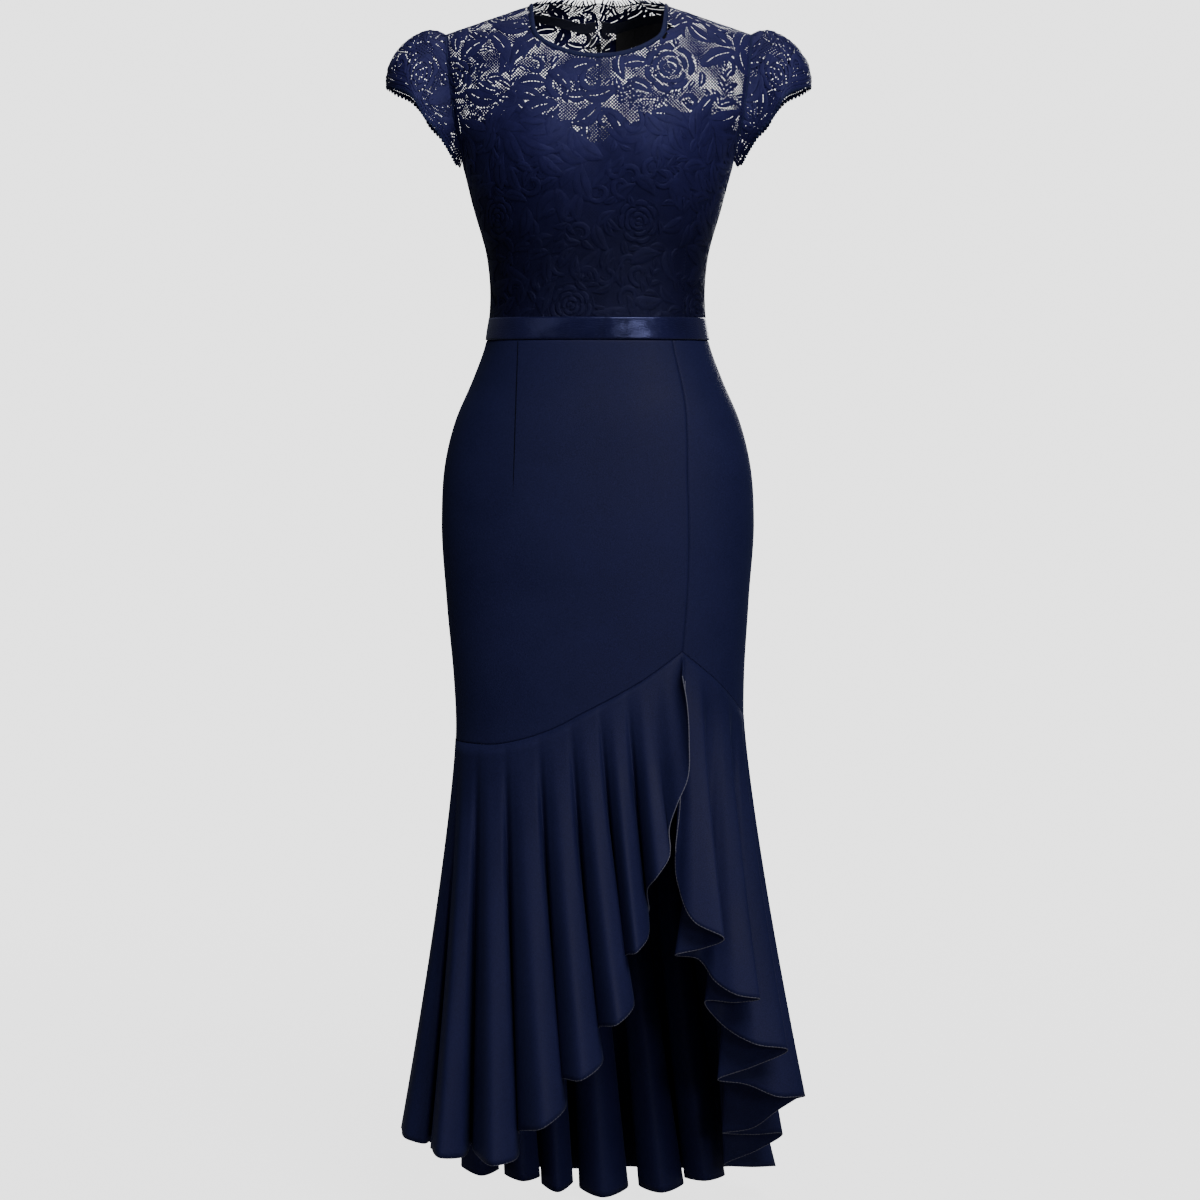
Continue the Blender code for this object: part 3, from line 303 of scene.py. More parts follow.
# Lace. Its repeat is across and up, and the rings of a flower are inner and outer share, petals and phase.
REPEAT = (0.170, 0.105)
REPEAT_FLOWER = 0.024
PITCH = 0.002
COVER_PITCH = 0.001
FOOT_STEP = 0.0007
NET_PITCH = 0.0040
NET_LIFT = -0.0002
NET_HALF = 0.00080
NET_HALF_BACK = 0.00050
BACK_EDGE_DEPTH = 0.066
OVERHANG = 0.0012
MOTIF_LIFT = 0.00005
MOTIF_LEVELS = 7
BAND_SIDES = np.array([-1.0, -0.78, 0.0, 0.0, 0.78, 1.0])
BAND_MIDDLE = np.array([0.0, 0.0, -1.0, 1.0, 0.0, 0.0])
BAND_RELIEF = np.array([0.0, 0.00050, 0.00018, 0.00018, 0.00050, 0.0])
MIDRIB = 0.00030
SLIT_QUAD = 2
SLIT_LEAF = 0.013
LEAF_BEND = 0.13
LONG_LEAF = 0.018
FLOWER_RINGS = ((0.00, 0.20, 2, 0.4), (0.22, 0.44, 4, 0.9), (0.47, 0.70, 5, 0.2), (0.73, 1.00, 7, 0.6))
EYELET_RAIL = 0.0008
EYELET_EVERY = 0.0036
EYELET_BAR = 0.00095
EYELET_GAP = 0.0026
PICOT_REACH = np.array([[-0.0004], [0.0016], [0.0028], [0.0034]])
PICOT_HALVES = np.array([0.0025, 0.0025, 0.0018, 0.0007])
SCALLOP = 0.0014
SCALLOPS = 11
LASH_HALVES = np.array([0.00115, 0.00100, 0.00070])
LASH_LENGTHS = (0.0090, 0.0115)
LASH_GAPS = (0.0034, 0.0046)

# Cloth thicknesses, hem stitches and zip teeth
LINING_SINK = 0.0006
LINING_THICK = 0.0010
RIBBON_THICK = 0.0009
SKIRT_THICK = 0.0012
FLOUNCE_THICK = 0.0010
HEM_STITCH = 0.0020
TOOTH_HALF = (0.0016, 0.0009, 0.00055)
TOOTH_EVERY = 0.0011
TOOTH_ASIDE = 0.0009

# Finishes
SHEER = 0.34
TAPE = (0.0060, 0.0070, 0.0200)
TAPE_DARK = (0.0045, 0.0052, 0.0150)
TAPE_LIGHT = (0.0100, 0.0115, 0.0330)
# Painted light and shade on the lace and lining: the two heights where it turns, then the colour's scale below the
# bust and over it
BUST_PAINTED_LIGHT = (-0.280, -0.165, 0.52, 1.55)
CLOTH_TINT = (0.5, 0.55, 1.0)


def smooth(knots, values, at):
    """Values at the wanted places on a smooth curve through the knots."""
    knots = np.asarray(knots, float)
    values = np.asarray(values, float)
    at = np.asarray(at, float)
    slopes = np.gradient(values, knots, axis=0)
    i = np.clip(np.searchsorted(knots, at, side="right") - 1, 0, len(knots) - 2)
    width = knots[i + 1] - knots[i]
    t = (at - knots[i]) / width
    if values.ndim > 1:
        width = width[..., None]
        t = t[..., None]
    start = (1 + 2 * t) * (1 - t) ** 2 * values[i] + t * (1 - t) ** 2 * width * slopes[i]
    end = t**2 * (3 - 2 * t) * values[i + 1] + t**2 * (t - 1) * width * slopes[i + 1]
    return start + end


def form(name, z):
    """One measure of the body form at a height."""
    k = FORM_COLUMNS.index(name)
    return smooth([row[0] for row in FORM], [row[k] for row in FORM], z)


def unit(vectors):
    return vectors / np.maximum(np.linalg.norm(vectors, axis=-1, keepdims=True), 1e-12)


def distances(points, axis=0):
    """Distance along lines of points at each of them."""
    steps = np.linalg.norm(np.diff(points, axis=axis), axis=-1)
    return np.concatenate([np.zeros_like(steps.take([0], axis)), np.cumsum(steps, axis)], axis)


def lengths(points):
    """Distance along a line of points at each of them, as a share of the whole."""
    run = distances(points)
    return run / run[-1]


def between(rows, run, at):
    """Rows of values, at places between those that a run gives them."""
    return np.stack([np.interp(at, run, rows[:, k]) for k in range(rows.shape[1])], axis=-1)


def resampled(points, at):
    """Points at shares of a line's length."""
    return between(points, lengths(points), at)


def outward(line, near, way):
    """Unit normals along a line on a surface: near lies beside it, and way is roughly where they point."""
    out = unit(np.cross(unit(np.gradient(line, axis=0)), near - line))
    return out * np.sign(out @ np.array(way))[:, None]


def shares(angles):
    """Shares of the half width that are evenly spread round a section."""
    return np.sin(np.asarray(angles) * math.pi / 2)


def shoulder_height(share):
    """Height of the shoulder ridge above a share of the half width, carried on over the neck."""
    across = np.abs(share) * SHOULDER_HALF
    return SHOULDER_RISE - SHOULDER_SLOPE * np.sqrt(across**2 + RIDGE_SOFTNESS**2)


def dome_height(share, climb):
    """Height at a share of the way up the dome from the chest to the shoulder ridge."""
    return CHEST + (shoulder_height(share) - CHEST) * np.sin(climb * math.pi / 2)


def body_point(side, share, z):
    """A point of the body form: side is FRONT or BACK, and share runs from -1 to 1 across."""
    ridge = shoulder_height(share)
    climb = np.clip((z - CHEST) / (ridge - CHEST), 0.0, 1.0)
    dome = np.sqrt(1.0 - climb**2)
    reach = np.minimum(form("reach", z), 1.0)
    across = np.clip(np.abs(share) * reach, 0.0, 1.0)
    profile = (1.0 - across**ROUNDNESS) ** (1.0 / ROUNDNESS)
    x = share * form("half_width", z) * reach
    if side == FRONT:
        far = ((np.abs(x) - CUP_X) / CUP_WIDTH) ** 2 + ((z - CUP_Z) / CUP_HEIGHT) ** 2
        depth = form("front", z) + CUP_DEPTH * np.exp(-far / 2)
    else:
        depth = form("back", z)
    return np.stack([x + form("centre", z), side * depth * profile * dome, z + 0.0 * x], axis=-1)


def section(hand):
    """Shares across a section: from the centre out for hand -1 or 1, and from side to side for 0."""
    if hand:
        return hand * np.sin(np.linspace(0.0, math.pi / 2, 60))
    return np.sin(np.linspace(-math.pi / 2, math.pi / 2, 120))


def sweetheart(share):
    return smooth([row[0] for row in SWEETHEART], [row[1] for row in SWEETHEART], share)


def back_lining_top(share):
    return LINING_BACK_TOP - LINING_BACK_DIP * (1.0 - share**2)


def front_neck(share):
    """How far up the dome the lace's front neckline lies, under its band."""
    r = np.minimum(np.abs(share) / NECK_SHARE, 1.0)
    return 0.300 + 0.200 * r**2 + 0.046 * r**6 + 0.454 * r**40


def back_neck(share):
    """How far up the dome the lace's scalloped back neckline lies."""
    r = np.minimum(np.abs(share) / NECK_SHARE, 1.0)
    scallop = 0.022 * np.cos(2 * math.pi * (r - 0.72) / 0.92) * (1 - r**6)
    return 0.735 + 0.265 * r**1.8 + scallop


def slit(z):
    """Half the opening at the centre back: the slit above the zip narrows to a closed seam."""
    open_share = np.clip((z - SLIT_END) / (SLIT_TOP - SLIT_END), 0.0, 1.0)
    return SLIT_HALF_WIDTH * open_share**1.5


def spread_at_slit(share, z):
    """Shares of the back half, moved out from the centre where the slit is open."""
    gap = slit(z) / form("half_width", z)
    return share + np.sign(share) * gap * np.maximum(1.0 - np.abs(share) / SLIT_REACH, 0.0)


# ---------------------------------------------------------------------------------------------------- materials


class Shader:
    """A material's node tree, with short calls for the nodes used here. An input's name has _ for a space."""

    def __init__(self, name, colour, roughness, **inputs):
        self.material = bpy.data.materials.new(name)
        self.material.use_nodes = True
        self.tree = self.material.node_tree
        self.surface = self.tree.nodes["Principled BSDF"]
        self.set(Base_Color=colour, Roughness=roughness, **inputs)

    def feed(self, socket, value):
        """Links or sets an input. A colour's alpha is added here."""
        if isinstance(value, bpy.types.NodeSocket):
            self.tree.links.new(value, socket)
        else:
            socket.default_value = (*value, 1.0) if socket.type == "RGBA" else value

    def set(self, **inputs):
        for name, value in inputs.items():
            self.feed(self.surface.inputs[name.replace("_", " ")], value)

    def node(self, kind, operation=None, **inputs):
        made = self.tree.nodes.new(kind)
        if operation:
            made.operation = operation
        for name, value in inputs.items():
            self.feed(made.inputs[name.replace("_", " ")], value)
        return made

    def place(self, scale=(1.0, 1.0, 1.0), turn=(0.0, 0.0, 0.0)):
        """Object coordinates, scaled and turned."""
        place = self.node("ShaderNodeTexCoord").outputs["Object"]
        return self.node("ShaderNodeMapping", Vector=place, Scale=scale, Rotation=turn).outputs["Vector"]

    def noise(self, scale, detail=3.0, roughness=0.55, stretch=(1.0, 1.0, 1.0)):
        place = self.place(stretch)
        made = self.node("ShaderNodeTexNoise", Vector=place, Scale=scale, Detail=detail, Roughness=roughness)
        return made.outputs["Fac"]

    def math(self, operation, *values):
        made = self.node("ShaderNodeMath", operation)
        for socket, value in zip(made.inputs, values):
            self.feed(socket, value)
        return made.outputs[0]

    def mixed(self, a, share, b):
        """Two factors in one, with the first one's share."""
        return self.math("ADD", self.math("MULTIPLY", a, share), self.math("MULTIPLY", b, 1 - share))

    def ramp(self, fac, low, high):
        """A blend of two colours or greys, each with the factor where it starts or ends."""
        made = self.node("ShaderNodeValToRGB", Fac=fac)
        for stop, (at, colour) in zip(made.color_ramp.elements, (low, high)):
            stop.position = at
            stop.color = (*(colour if isinstance(colour, tuple) else (colour,) * 3), 1.0)
        return made.outputs["Color"]

    def with_painted_bust_light(self, colour):
        """A colour scaled by height: painted light over the bust, and painted shade deeper below it."""
        height = self.node("ShaderNodeSeparateXYZ", Vector=self.place()).outputs["Z"]
        low, high, dim, painted_bright = BUST_PAINTED_LIGHT
        shade = self.node("ShaderNodeMapRange", Value=height, From_Min=low, From_Max=high, To_Min=dim, To_Max=painted_bright)
        scaled = self.node("ShaderNodeVectorMath", "SCALE", Vector=colour, Scale=shade.outputs["Result"])
        return scaled.outputs["Vector"]

    def colour(self, fac, low, high, paint_bust_light=False):
        blend = self.ramp(fac, low, high)
        # Where asked, the colour gets painted light over the bust and painted shade below it
        self.set(Base_Color=self.with_painted_bust_light(blend) if paint_bust_light else blend)

    def rough(self, fac, low, high):
        self.set(Roughness=self.ramp(fac, low, high))

    def bump(self, height, distance, strength=1.0):
        """Adds a bump, over the ones already there."""
        made = self.node("ShaderNodeBump", Height=height, Distance=distance, Strength=strength)
        before = self.surface.inputs["Normal"].links
        if before:
            self.feed(made.inputs["Normal"], before[0].from_socket)
        self.set(Normal=made.outputs["Normal"])


def crepe_material():
    """Matt stretch crepe: a fine pebbled grain and a soft bloom."""
    made = Shader("crepe", (0.0066, 0.0082, 0.0330), 0.62)
    grain = made.noise(900.0, 2.0, 0.6)
    cloud = made.noise(14.0)
    made.colour(made.mixed(grain, 0.75, cloud), (0.34, (0.0046, 0.0054, 0.0280)), (0.66, (0.0092, 0.0102, 0.0475)))
    made.rough(cloud, (0.3, 0.56), (0.7, 0.68))
    made.bump(grain, 0.00035, 0.55)
    made.set(Specular_IOR_Level=0.12, Sheen_Weight=0.03, Sheen_Roughness=0.5, Sheen_Tint=(0.30, 0.38, 0.85))
    return made.material


def lace_material(name, dark, light, roughness, sheen):
    """Corded lace thread: fine ribs and a silky catch of light, with painted light over the bust and painted shade
    below it.
    """
    made = Shader(name, dark, roughness, Sheen_Weight=sheen, Sheen_Roughness=0.35, Sheen_Tint=(0.45, 0.50, 0.95))
    ribs = made.noise(1100.0, 2.0, 0.6, (1.0, 1.0, 3.0))
    # Its colour carries painted light over the bust and painted shade below it
    made.colour(made.mixed(ribs, 0.6, made.noise(60.0)), (0.36, dark), (0.64, light), True)
    made.bump(ribs, 0.0004, 0.8)
    made.set(Specular_IOR_Level=0.16, Specular_Tint=CLOTH_TINT)
    return made.material


def lining_material(name, dark, light):
    """Smooth stretch lining with a low shine, pressed by the net that lies on it, with painted light over the bust and
    painted shade below it.
    """
    made = Shader(name, dark, 0.42, Sheen_Weight=0.03, Sheen_Tint=(0.40, 0.45, 0.95))
    # Its colour carries painted light over the bust and painted shade below it
    made.colour(made.noise(26.0, 4.0), (0.35, dark), (0.65, light), True)
    made.bump(made.noise(1500.0, 2.0, stretch=(1.0, 1.0, 0.25)), 0.0002, 0.5)
    made.set(Specular_IOR_Level=0.20, Specular_Tint=CLOTH_TINT)
    return made.material


def satin_material():
    """Satin ribbon: long floats across that spread the shine."""
    made = Shader("satin", (0.0060, 0.0070, 0.0240), 0.27, Sheen_Weight=0.1, Sheen_Tint=(0.5, 0.5, 1.0))
    floats = made.noise(2600.0, 2.0, 0.5, (0.06, 0.06, 1.0))
    waves = made.noise(22.0, stretch=(1.0, 1.0, 0.6))
    made.colour(waves, (0.35, (0.0032, 0.0034, 0.0170)), (0.68, (0.0066, 0.0068, 0.0330)))
    made.rough(floats, (0.3, 0.20), (0.7, 0.30))
    made.bump(floats, 0.00012, 0.5)
    made.bump(waves, 0.0045, 0.35)
    made.set(Specular_IOR_Level=0.42, Specular_Tint=(0.42, 0.46, 1.0))
    return made.material


def tape_material():
    """Woven tape with a fine herringbone rib."""
    made = Shader("tape", TAPE, 0.75)
    place = made.place(turn=(0.0, 0.6, 0.0))
    ribs = made.node("ShaderNodeTexWave", Vector=place, Scale=320.0, Distortion=1.5).outputs["Fac"]
    made.colour(ribs, (0.2, TAPE_DARK), (0.8, TAPE_LIGHT))
    made.bump(ribs, 0.0002, 0.7)
    return made.material


def fine_material(name, colour, roughness, noise, low, high, bump, **inputs):
    """A finish with one fine noise in its colour and its bump."""
    made = Shader(name, colour, roughness, **inputs)
    grain = made.noise(*noise)
    made.colour(grain, low, high)
    made.bump(grain, *bump)
    return made.material


def metal_material():
    """Lacquered navy metal with faint wear."""
    made = Shader("zip_metal", (0.030, 0.034, 0.060), 0.30, Metallic=0.75)
    wear = made.noise(260.0, 4.0)
    made.colour(wear, (0.45, (0.024, 0.028, 0.052)), (0.80, (0.075, 0.080, 0.105)))
    made.rough(wear, (0.3, 0.24), (0.7, 0.42))
    made.bump(wear, 0.0001, 0.3)
    return made.material


def floor_material():
    """Plain floor, pale to the eye but dimmer to the dress, which fades out into the white round it."""
    made = Shader("floor", (0.30, 0.30, 0.31), 0.9, Specular_IOR_Level=0.05)
    centre = made.place((1 / FLOOR_RADIUS, 1 / FLOOR_RADIUS, 0.0))
    away = made.node("ShaderNodeVectorMath", "LENGTH", Vector=centre).outputs["Value"]
    seen = made.node("ShaderNodeLightPath").outputs["Is Camera Ray"]
    made.set(Alpha=made.ramp(away, (0.20, 1.0), (0.95, 0.0)))
    made.set(Emission_Color=(1.0, 1.0, 1.0), Emission_Strength=made.math("MULTIPLY", seen, FLOOR_GLOW))
    return made.material


# ------------------------------------------------------------------------------------------------------- meshes


def mesh_object(name, vertices, quads, finish, smooth_shade=True):
    """An object from arrays of points and quads."""
    mesh = bpy.data.meshes.new(name)
    quads = np.asarray(quads, dtype=np.int32)
    mesh.vertices.add(len(vertices))
    mesh.vertices.foreach_set("co", np.asarray(vertices, dtype=np.float32).ravel())
    mesh.loops.add(quads.size)
    mesh.loops.foreach_set("vertex_index", quads.ravel())
    mesh.polygons.add(len(quads))
    mesh.polygons.foreach_set("loop_start", np.arange(0, quads.size, quads.shape[1], dtype=np.int32))
    mesh.update(calc_edges=True)
    mesh.validate()
    if smooth_shade:
        mesh.shade_smooth()
    mesh.materials.append(finish)
    made = bpy.data.objects.new(name, mesh)
    bpy.context.scene.collection.objects.link(made)
    return made


def stacked(parts):
    """Several (points, quads) pairs as one."""
    starts = np.cumsum([0] + [len(points) for points, _ in parts])
    quads = [np.asarray(faces) + start for (_, faces), start in zip(parts, starts)]
    return np.concatenate([points for points, _ in parts]), np.concatenate(quads)


def joined(name, parts, finish):
    """One object from several (points, quads) pairs."""
    return mesh_object(name, *stacked(parts), finish)


def grid_quads(rows, columns, closed=False):
    """Quads over a grid of points, row by row, with the last column joined to the first where it is closed."""
    index = np.arange(rows * columns).reshape(rows, columns)
    if closed:
        index = np.concatenate([index, index[:, :1]], axis=1)
    return np.stack([index[:-1, :-1], index[:-1, 1:], index[1:, 1:], index[1:, :-1]], axis=-1).reshape(-1, 4)


def grid_normals(points, facing):
    return unit(np.cross(np.gradient(points, axis=1), np.gradient(points, axis=0))) * facing


def shell(name, points, facing, outset, thickness, finish):
    """A closed thin shell whose outer face lies outset from a grid of points."""
    normals = grid_normals(points, facing)
    rows, columns = points.shape[:2]
    outer = points + normals * outset
    inner = points + normals * (outset - thickness)
    count = rows * columns
    quads = grid_quads(rows, columns)
    index = np.arange(count).reshape(rows, columns)
    edge = np.concatenate([index[0, :], index[1:, -1], index[-1, -2::-1], index[-2:0:-1, 0]])
    ahead = np.roll(edge, -1)
    rim = np.stack([ahead, edge, count + edge, count + ahead], axis=-1)
    quads = np.concatenate([quads, count + quads[:, ::-1], rim])
    if facing < 0:
        quads = quads[:, ::-1]
    return mesh_object(name, np.concatenate([outer.reshape(-1, 3), inner.reshape(-1, 3)]), quads, finish)


def tube_parts(line, normals, radius, flat=1.0, sides=8):
    """Points and quads of a cord along a line: flat scales its height off the surface. Sides is even."""
    way = unit(np.gradient(line, axis=0))
    across = unit(np.cross(way, normals))
    up = np.cross(across, way)
    radius = np.broadcast_to(radius, len(line))[:, None, None]
    turn = np.linspace(0.0, 2 * math.pi, sides, endpoint=False)
    ring = across[:, None] * np.cos(turn)[:, None] + up[:, None] * np.sin(turn)[:, None] * flat
    last = (len(line) - 1) * sides
    starts = range(0, sides - 2, 2)
    caps = [[0, sides - 1 - k, sides - 2 - k, sides - 3 - k] for k in starts]
    caps += [[last, last + k + 1, last + k + 2, last + k + 3] for k in starts]
    return (line[:, None] + ring * radius).reshape(-1, 3), np.concatenate([grid_quads(len(line), sides, True), caps])


# --------------------------------------------------------------------------------------------------------- lace


class Plane:
    """A panel laid flat: a across and h up, in metres, with the surface's point and normal over each place."""

    def __init__(self, a0, h0, points, facing, room):
        self.a0 = a0
        self.h0 = h0
        self.points = points
        self.normals = grid_normals(points, facing)
        self.room = room

    def look(self, grid, a, h):
        """A grid's values between its points."""
        x = np.clip((np.asarray(a) - self.a0) / PITCH, 0.0, grid.shape[1] - 1.001)
        y = np.clip((np.asarray(h) - self.h0) / PITCH, 0.0, grid.shape[0] - 1.001)
        i, j = y.astype(int), x.astype(int)
        u, w = x - j, y - i
        if grid.ndim == 3:
            u, w = u[..., None], w[..., None]
        low = grid[i, j] * (1 - u) + grid[i, j + 1] * u
        high = grid[i + 1, j] * (1 - u) + grid[i + 1, j + 1] * u
        return low * (1 - w) + high * w

    def room_at(self, places):
        """How far places lie inside the panel's edges."""
        return self.look(self.room, places[..., 0], places[..., 1])

    def place(self, a, h, lift):
        return self.look(self.points, a, h) + self.look(self.normals, a, h) * np.asarray(lift)[..., None]


def flatten(side, hand, neck):
    """A bodice panel's plane. Hand 0 covers both sides of the centre; -1 and 1 run from the centre out."""
    first, way = (0.0, hand) if hand else (-1.0, 1)
    share = shares(np.linspace(first, 1.0, 141 if hand else 281)) * way
    climb = np.linspace(0.0, 1.0, 81)
    heights = []
    limits = []
    for s in share:
        z = dome_height(s, climb)
        run = distances(body_point(side, s, z))
        heights.append((run, z))
        limits.append(np.interp(neck(s) if abs(s) < NECK_SHARE else 1.0, climb, run))
    h0 = WAIST - CHEST
    h = np.arange(h0, max(limits) + 6 * PITCH, PITCH)
    z = np.stack([np.where(h < 0, CHEST + h, np.interp(h, run, up)) for run, up in heights], axis=1)
    points = body_point(side, spread_at_slit(share, z) if hand else np.broadcast_to(share, z.shape), z)
    run = distances(points, 1)
    middle = 0 if hand else len(share) // 2
    run -= run[:, middle : middle + 1]
    a = np.arange(run.min() - 4 * PITCH, run.max() + 4 * PITCH, PITCH)
    fine = np.linspace(first, 1.0, 1601) * way
    order = np.argsort(share)
    tops = np.interp(fine, share[order], np.array(limits)[order])
    corner = np.abs(fine) < NECK_SHARE
    tops[corner] = limit_heights(side, fine[corner], neck)
    flat = np.empty((len(h), len(a), 3))
    room = np.empty((len(h), len(a)))
    for i in range(len(h)):
        inside = np.clip(a, run[i, 0], run[i, -1])
        past = (a - inside)[:, None]
        ends = np.where(past > 0, unit(points[i, -1] - points[i, -2]), unit(points[i, 1] - points[i, 0]))
        flat[i] = between(points[i], run[i], inside) + past * ends
        top = np.interp(np.interp(inside, run[i], share) * way, fine * way, tops)
        room[i] = np.minimum.reduce([run[i, -1] - a, a - run[i, 0], top - h[i], 0 * a + h[i] - h0])
    return Plane(a[0], h0, flat, 1 if side == FRONT else -hand, room)


def limit_heights(side, share, neck):
    """Distances up the dome to the neckline."""
    s = share[:, None]
    z = dome_height(s, np.linspace(0.0, 1.0, 41)[None] * neck(share)[:, None])
    points = body_point(side, np.broadcast_to(s, z.shape), z)
    return np.linalg.norm(np.diff(points, axis=1), axis=2).sum(axis=1)


class Lace:
    """Net and motifs of one lace panel, drawn on its plane and then laid on its surface."""

    def __init__(self, plane, seed):
        self.plane = plane
        self.rng = np.random.default_rng(seed)
        self.parts = []
        self.level = 0
        scale = PITCH / COVER_PITCH
        shape = int(plane.room.shape[0] * scale), int(plane.room.shape[1] * scale)
        self.cover = np.zeros(shape, bool)
        self.kept = np.zeros(shape, bool)
        h = plane.h0 + np.arange(shape[0]) * COVER_PITCH
        a = plane.a0 + np.arange(shape[1]) * COVER_PITCH
        self.places = np.stack(np.meshgrid(a, h), axis=-1)
        self.inside = plane.room_at(self.places) > 0

    def cells(self, a, h):
        i = np.clip(((h - self.plane.h0) / COVER_PITCH).astype(int), 0, self.cover.shape[0] - 1)
        j = np.clip(((a - self.plane.a0) / COVER_PITCH).astype(int), 0, self.cover.shape[1] - 1)
        return i, j

    def footprint(self, line, half):
        """Cells all over a band."""
        half = np.broadcast_to(half, len(line))
        fine = resampled(line, np.linspace(0, 1, max(3, int(distances(line)[-1] / FOOT_STEP))))
        wide = np.interp(np.linspace(0, 1, len(fine)), lengths(line), half)
        reach = np.linspace(-1, 1, max(3, int(np.max(half) * 2 / FOOT_STEP)))
        places = fine[:, None] + across_of(fine)[:, None] * (wide[:, None] * reach)[..., None]
        return self.cells(places[..., 0].ravel(), places[..., 1].ravel())

    def fits(self, line, half, overlap, shut=0.06):
        """Whether a band's place is on the panel, mostly out of what is kept open, and not yet covered much."""
        cells = self.footprint(line, half)
        away = (self.kept[cells] | ~self.inside[cells]).mean()
        return away < shut and self.cover[cells].mean() < overlap

    def mark(self, line, half, keep=False):
        cells = self.footprint(line, half)
        self.cover[cells] = True
        if keep:
            self.kept[cells] = True

    def wanted(self, keep=None):
        """The panel's cells, or those of them that keep takes."""
        return self.inside if keep is None else self.inside & keep(self.places)

    def spot(self, spots):
        """One of some places, by chance."""
        return spots[int(self.rng.random() * len(spots))]

    def window(self, at, wide, tall, angle=0.0):
        """Keeps an uneven round of net open."""
        away = self.places - np.asarray(at)
        c, s = math.cos(angle), math.sin(angle)
        x = (away[..., 0] * c + away[..., 1] * s) / wide
        y = (away[..., 1] * c - away[..., 0] * s) / tall
        turn = np.arctan2(y, x)
        lobes = 1.0 + 0.16 * np.sin(3 * turn + at[0] * 190) + 0.10 * np.sin(5 * turn + at[1] * 230)
        self.kept |= np.hypot(x, y) < lobes

    def band(self, line, half, slit=False, keep=False):
        """A corded band: two raised edges with a lower fill, open down the middle where it has a slit."""
        half = np.broadcast_to(np.asarray(half, float), len(line))
        rib = np.minimum(MIDRIB, half * 0.3)
        stations = half[:, None] * BAND_SIDES + rib[:, None] * BAND_MIDDLE
        places = line[:, None] + across_of(line)[:, None] * stations[..., None]
        relief = BAND_RELIEF * np.minimum(half / 0.0020, 1.0)[:, None]
        lift = MOTIF_LIFT * (1 + self.level % MOTIF_LEVELS) + relief
        self.level += 1
        quads = grid_quads(len(line), len(BAND_SIDES))
        if slit:
            row, column = np.divmod(np.arange(len(quads)), len(BAND_SIDES) - 1)
            quads = quads[~((column == SLIT_QUAD) & (row > 0) & (row < len(line) - 3))]
        self.add(places.reshape(-1, 2), lift.ravel(), quads)
        self.mark(line, half, keep)

    def thread(self, line, half):
        """A thin flat thread among the motifs."""
        line = np.asarray(line, float)
        aside = across_of(line) * half
        places = np.stack([line - aside, line + aside], axis=1).reshape(-1, 2)
        self.add(places, np.full(len(places), MOTIF_LIFT), grid_quads(len(line), 2))

    def add(self, places, lift, quads):
        """Takes the quads that lie on the panel or just over its edge."""
        keep = (self.plane.room_at(places)[quads] > -OVERHANG).all(axis=1)
        if keep.any():
            self.parts.append((np.column_stack([places, lift]), quads[keep]))

    def net(self, half, keep=None):
        """A diamond net over what the motifs leave open. Keep says where, by place."""
        plane = self.plane
        rows, columns = plane.room.shape
        step = NET_PITCH / 2
        h = np.arange(plane.h0, plane.h0 + rows * PITCH, step)
        a = np.arange(plane.a0, plane.a0 + columns * PITCH, NET_PITCH)
        starts = np.stack(np.meshgrid(a - a[np.argmin(np.abs(a))], h), axis=-1)
        starts[1::2, :, 0] += step
        starts = starts.reshape(-1, 2)
        for way in (-1, 1):
            first = starts
            second = starts + np.array([way * step, step])
            middle = (first + second) / 2
            f, g = plane.room_at(first), plane.room_at(second)
            hidden = np.ones(len(first), bool)
            for places in (first, middle, second):
                hidden &= self.cover[self.cells(places[:, 0], places[:, 1])]
            use = ((f > 0) | (g > 0)) & ~hidden
            if keep is not None:
                use &= keep(middle)
            first, second, f, g = first[use], second[use], f[use], g[use]
            t = np.clip(f / np.where(np.abs(f - g) < 1e-9, 1e-9, f - g), 0, 1)[:, None]
            cut = first + (second - first) * t
            second = np.where((g < 0)[:, None], cut, second)
            first = np.where((f < 0)[:, None], cut, first)
            aside = np.array([-step, way * step]) / (step * math.sqrt(2)) * half
            corners = np.stack([first - aside, first + aside, second + aside, second - aside], axis=1).reshape(-1, 2)
            quads = np.arange(len(corners)).reshape(-1, 4)[:, ::-way]
            self.parts.append((np.column_stack([corners, np.full(len(corners), NET_LIFT)]), quads))

    def build(self, name, finish):
        """The panel's object."""
        places, quads = stacked(self.parts)
        used, index = np.unique(quads, return_inverse=True)
        return mesh_object(name, self.plane.place(*places.T)[used], index.reshape(-1, 4), finish)


def across_of(line):
    """Unit directions across a flat line."""
    way = unit(np.gradient(line, axis=0))
    return np.stack([-way[:, 1], way[:, 0]], axis=-1)


def turned(points, at, angle, size=1.0, hand=1):
    """Flat points, sized, mirrored for hand -1, turned and moved."""
    p = np.asarray(points, float) * size * np.array([1.0, hand])
    c, s = math.cos(angle), math.sin(angle)
    return np.stack([at[0] + p[:, 0] * c - p[:, 1] * s, at[1] + p[:, 0] * s + p[:, 1] * c], axis=-1)


def around(at, reach, swing):
    """Flat points round a place, from how far and which way they lie."""
    return np.stack([at[0] + reach * np.cos(swing), at[1] + reach * np.sin(swing)], axis=-1)


def leaf_shape(at, angle, length, width, bend, hand):
    """A leaf's middle line and half widths."""
    t = np.linspace(0, 1, 9 if length > LONG_LEAF else 7)
    line = turned(np.stack([t, bend * np.sin(math.pi * t)], axis=-1), at, angle, length, hand)
    return line, width / 2 * np.sin(math.pi * np.clip(t, 0.02, 0.985) ** 0.8) ** 0.85


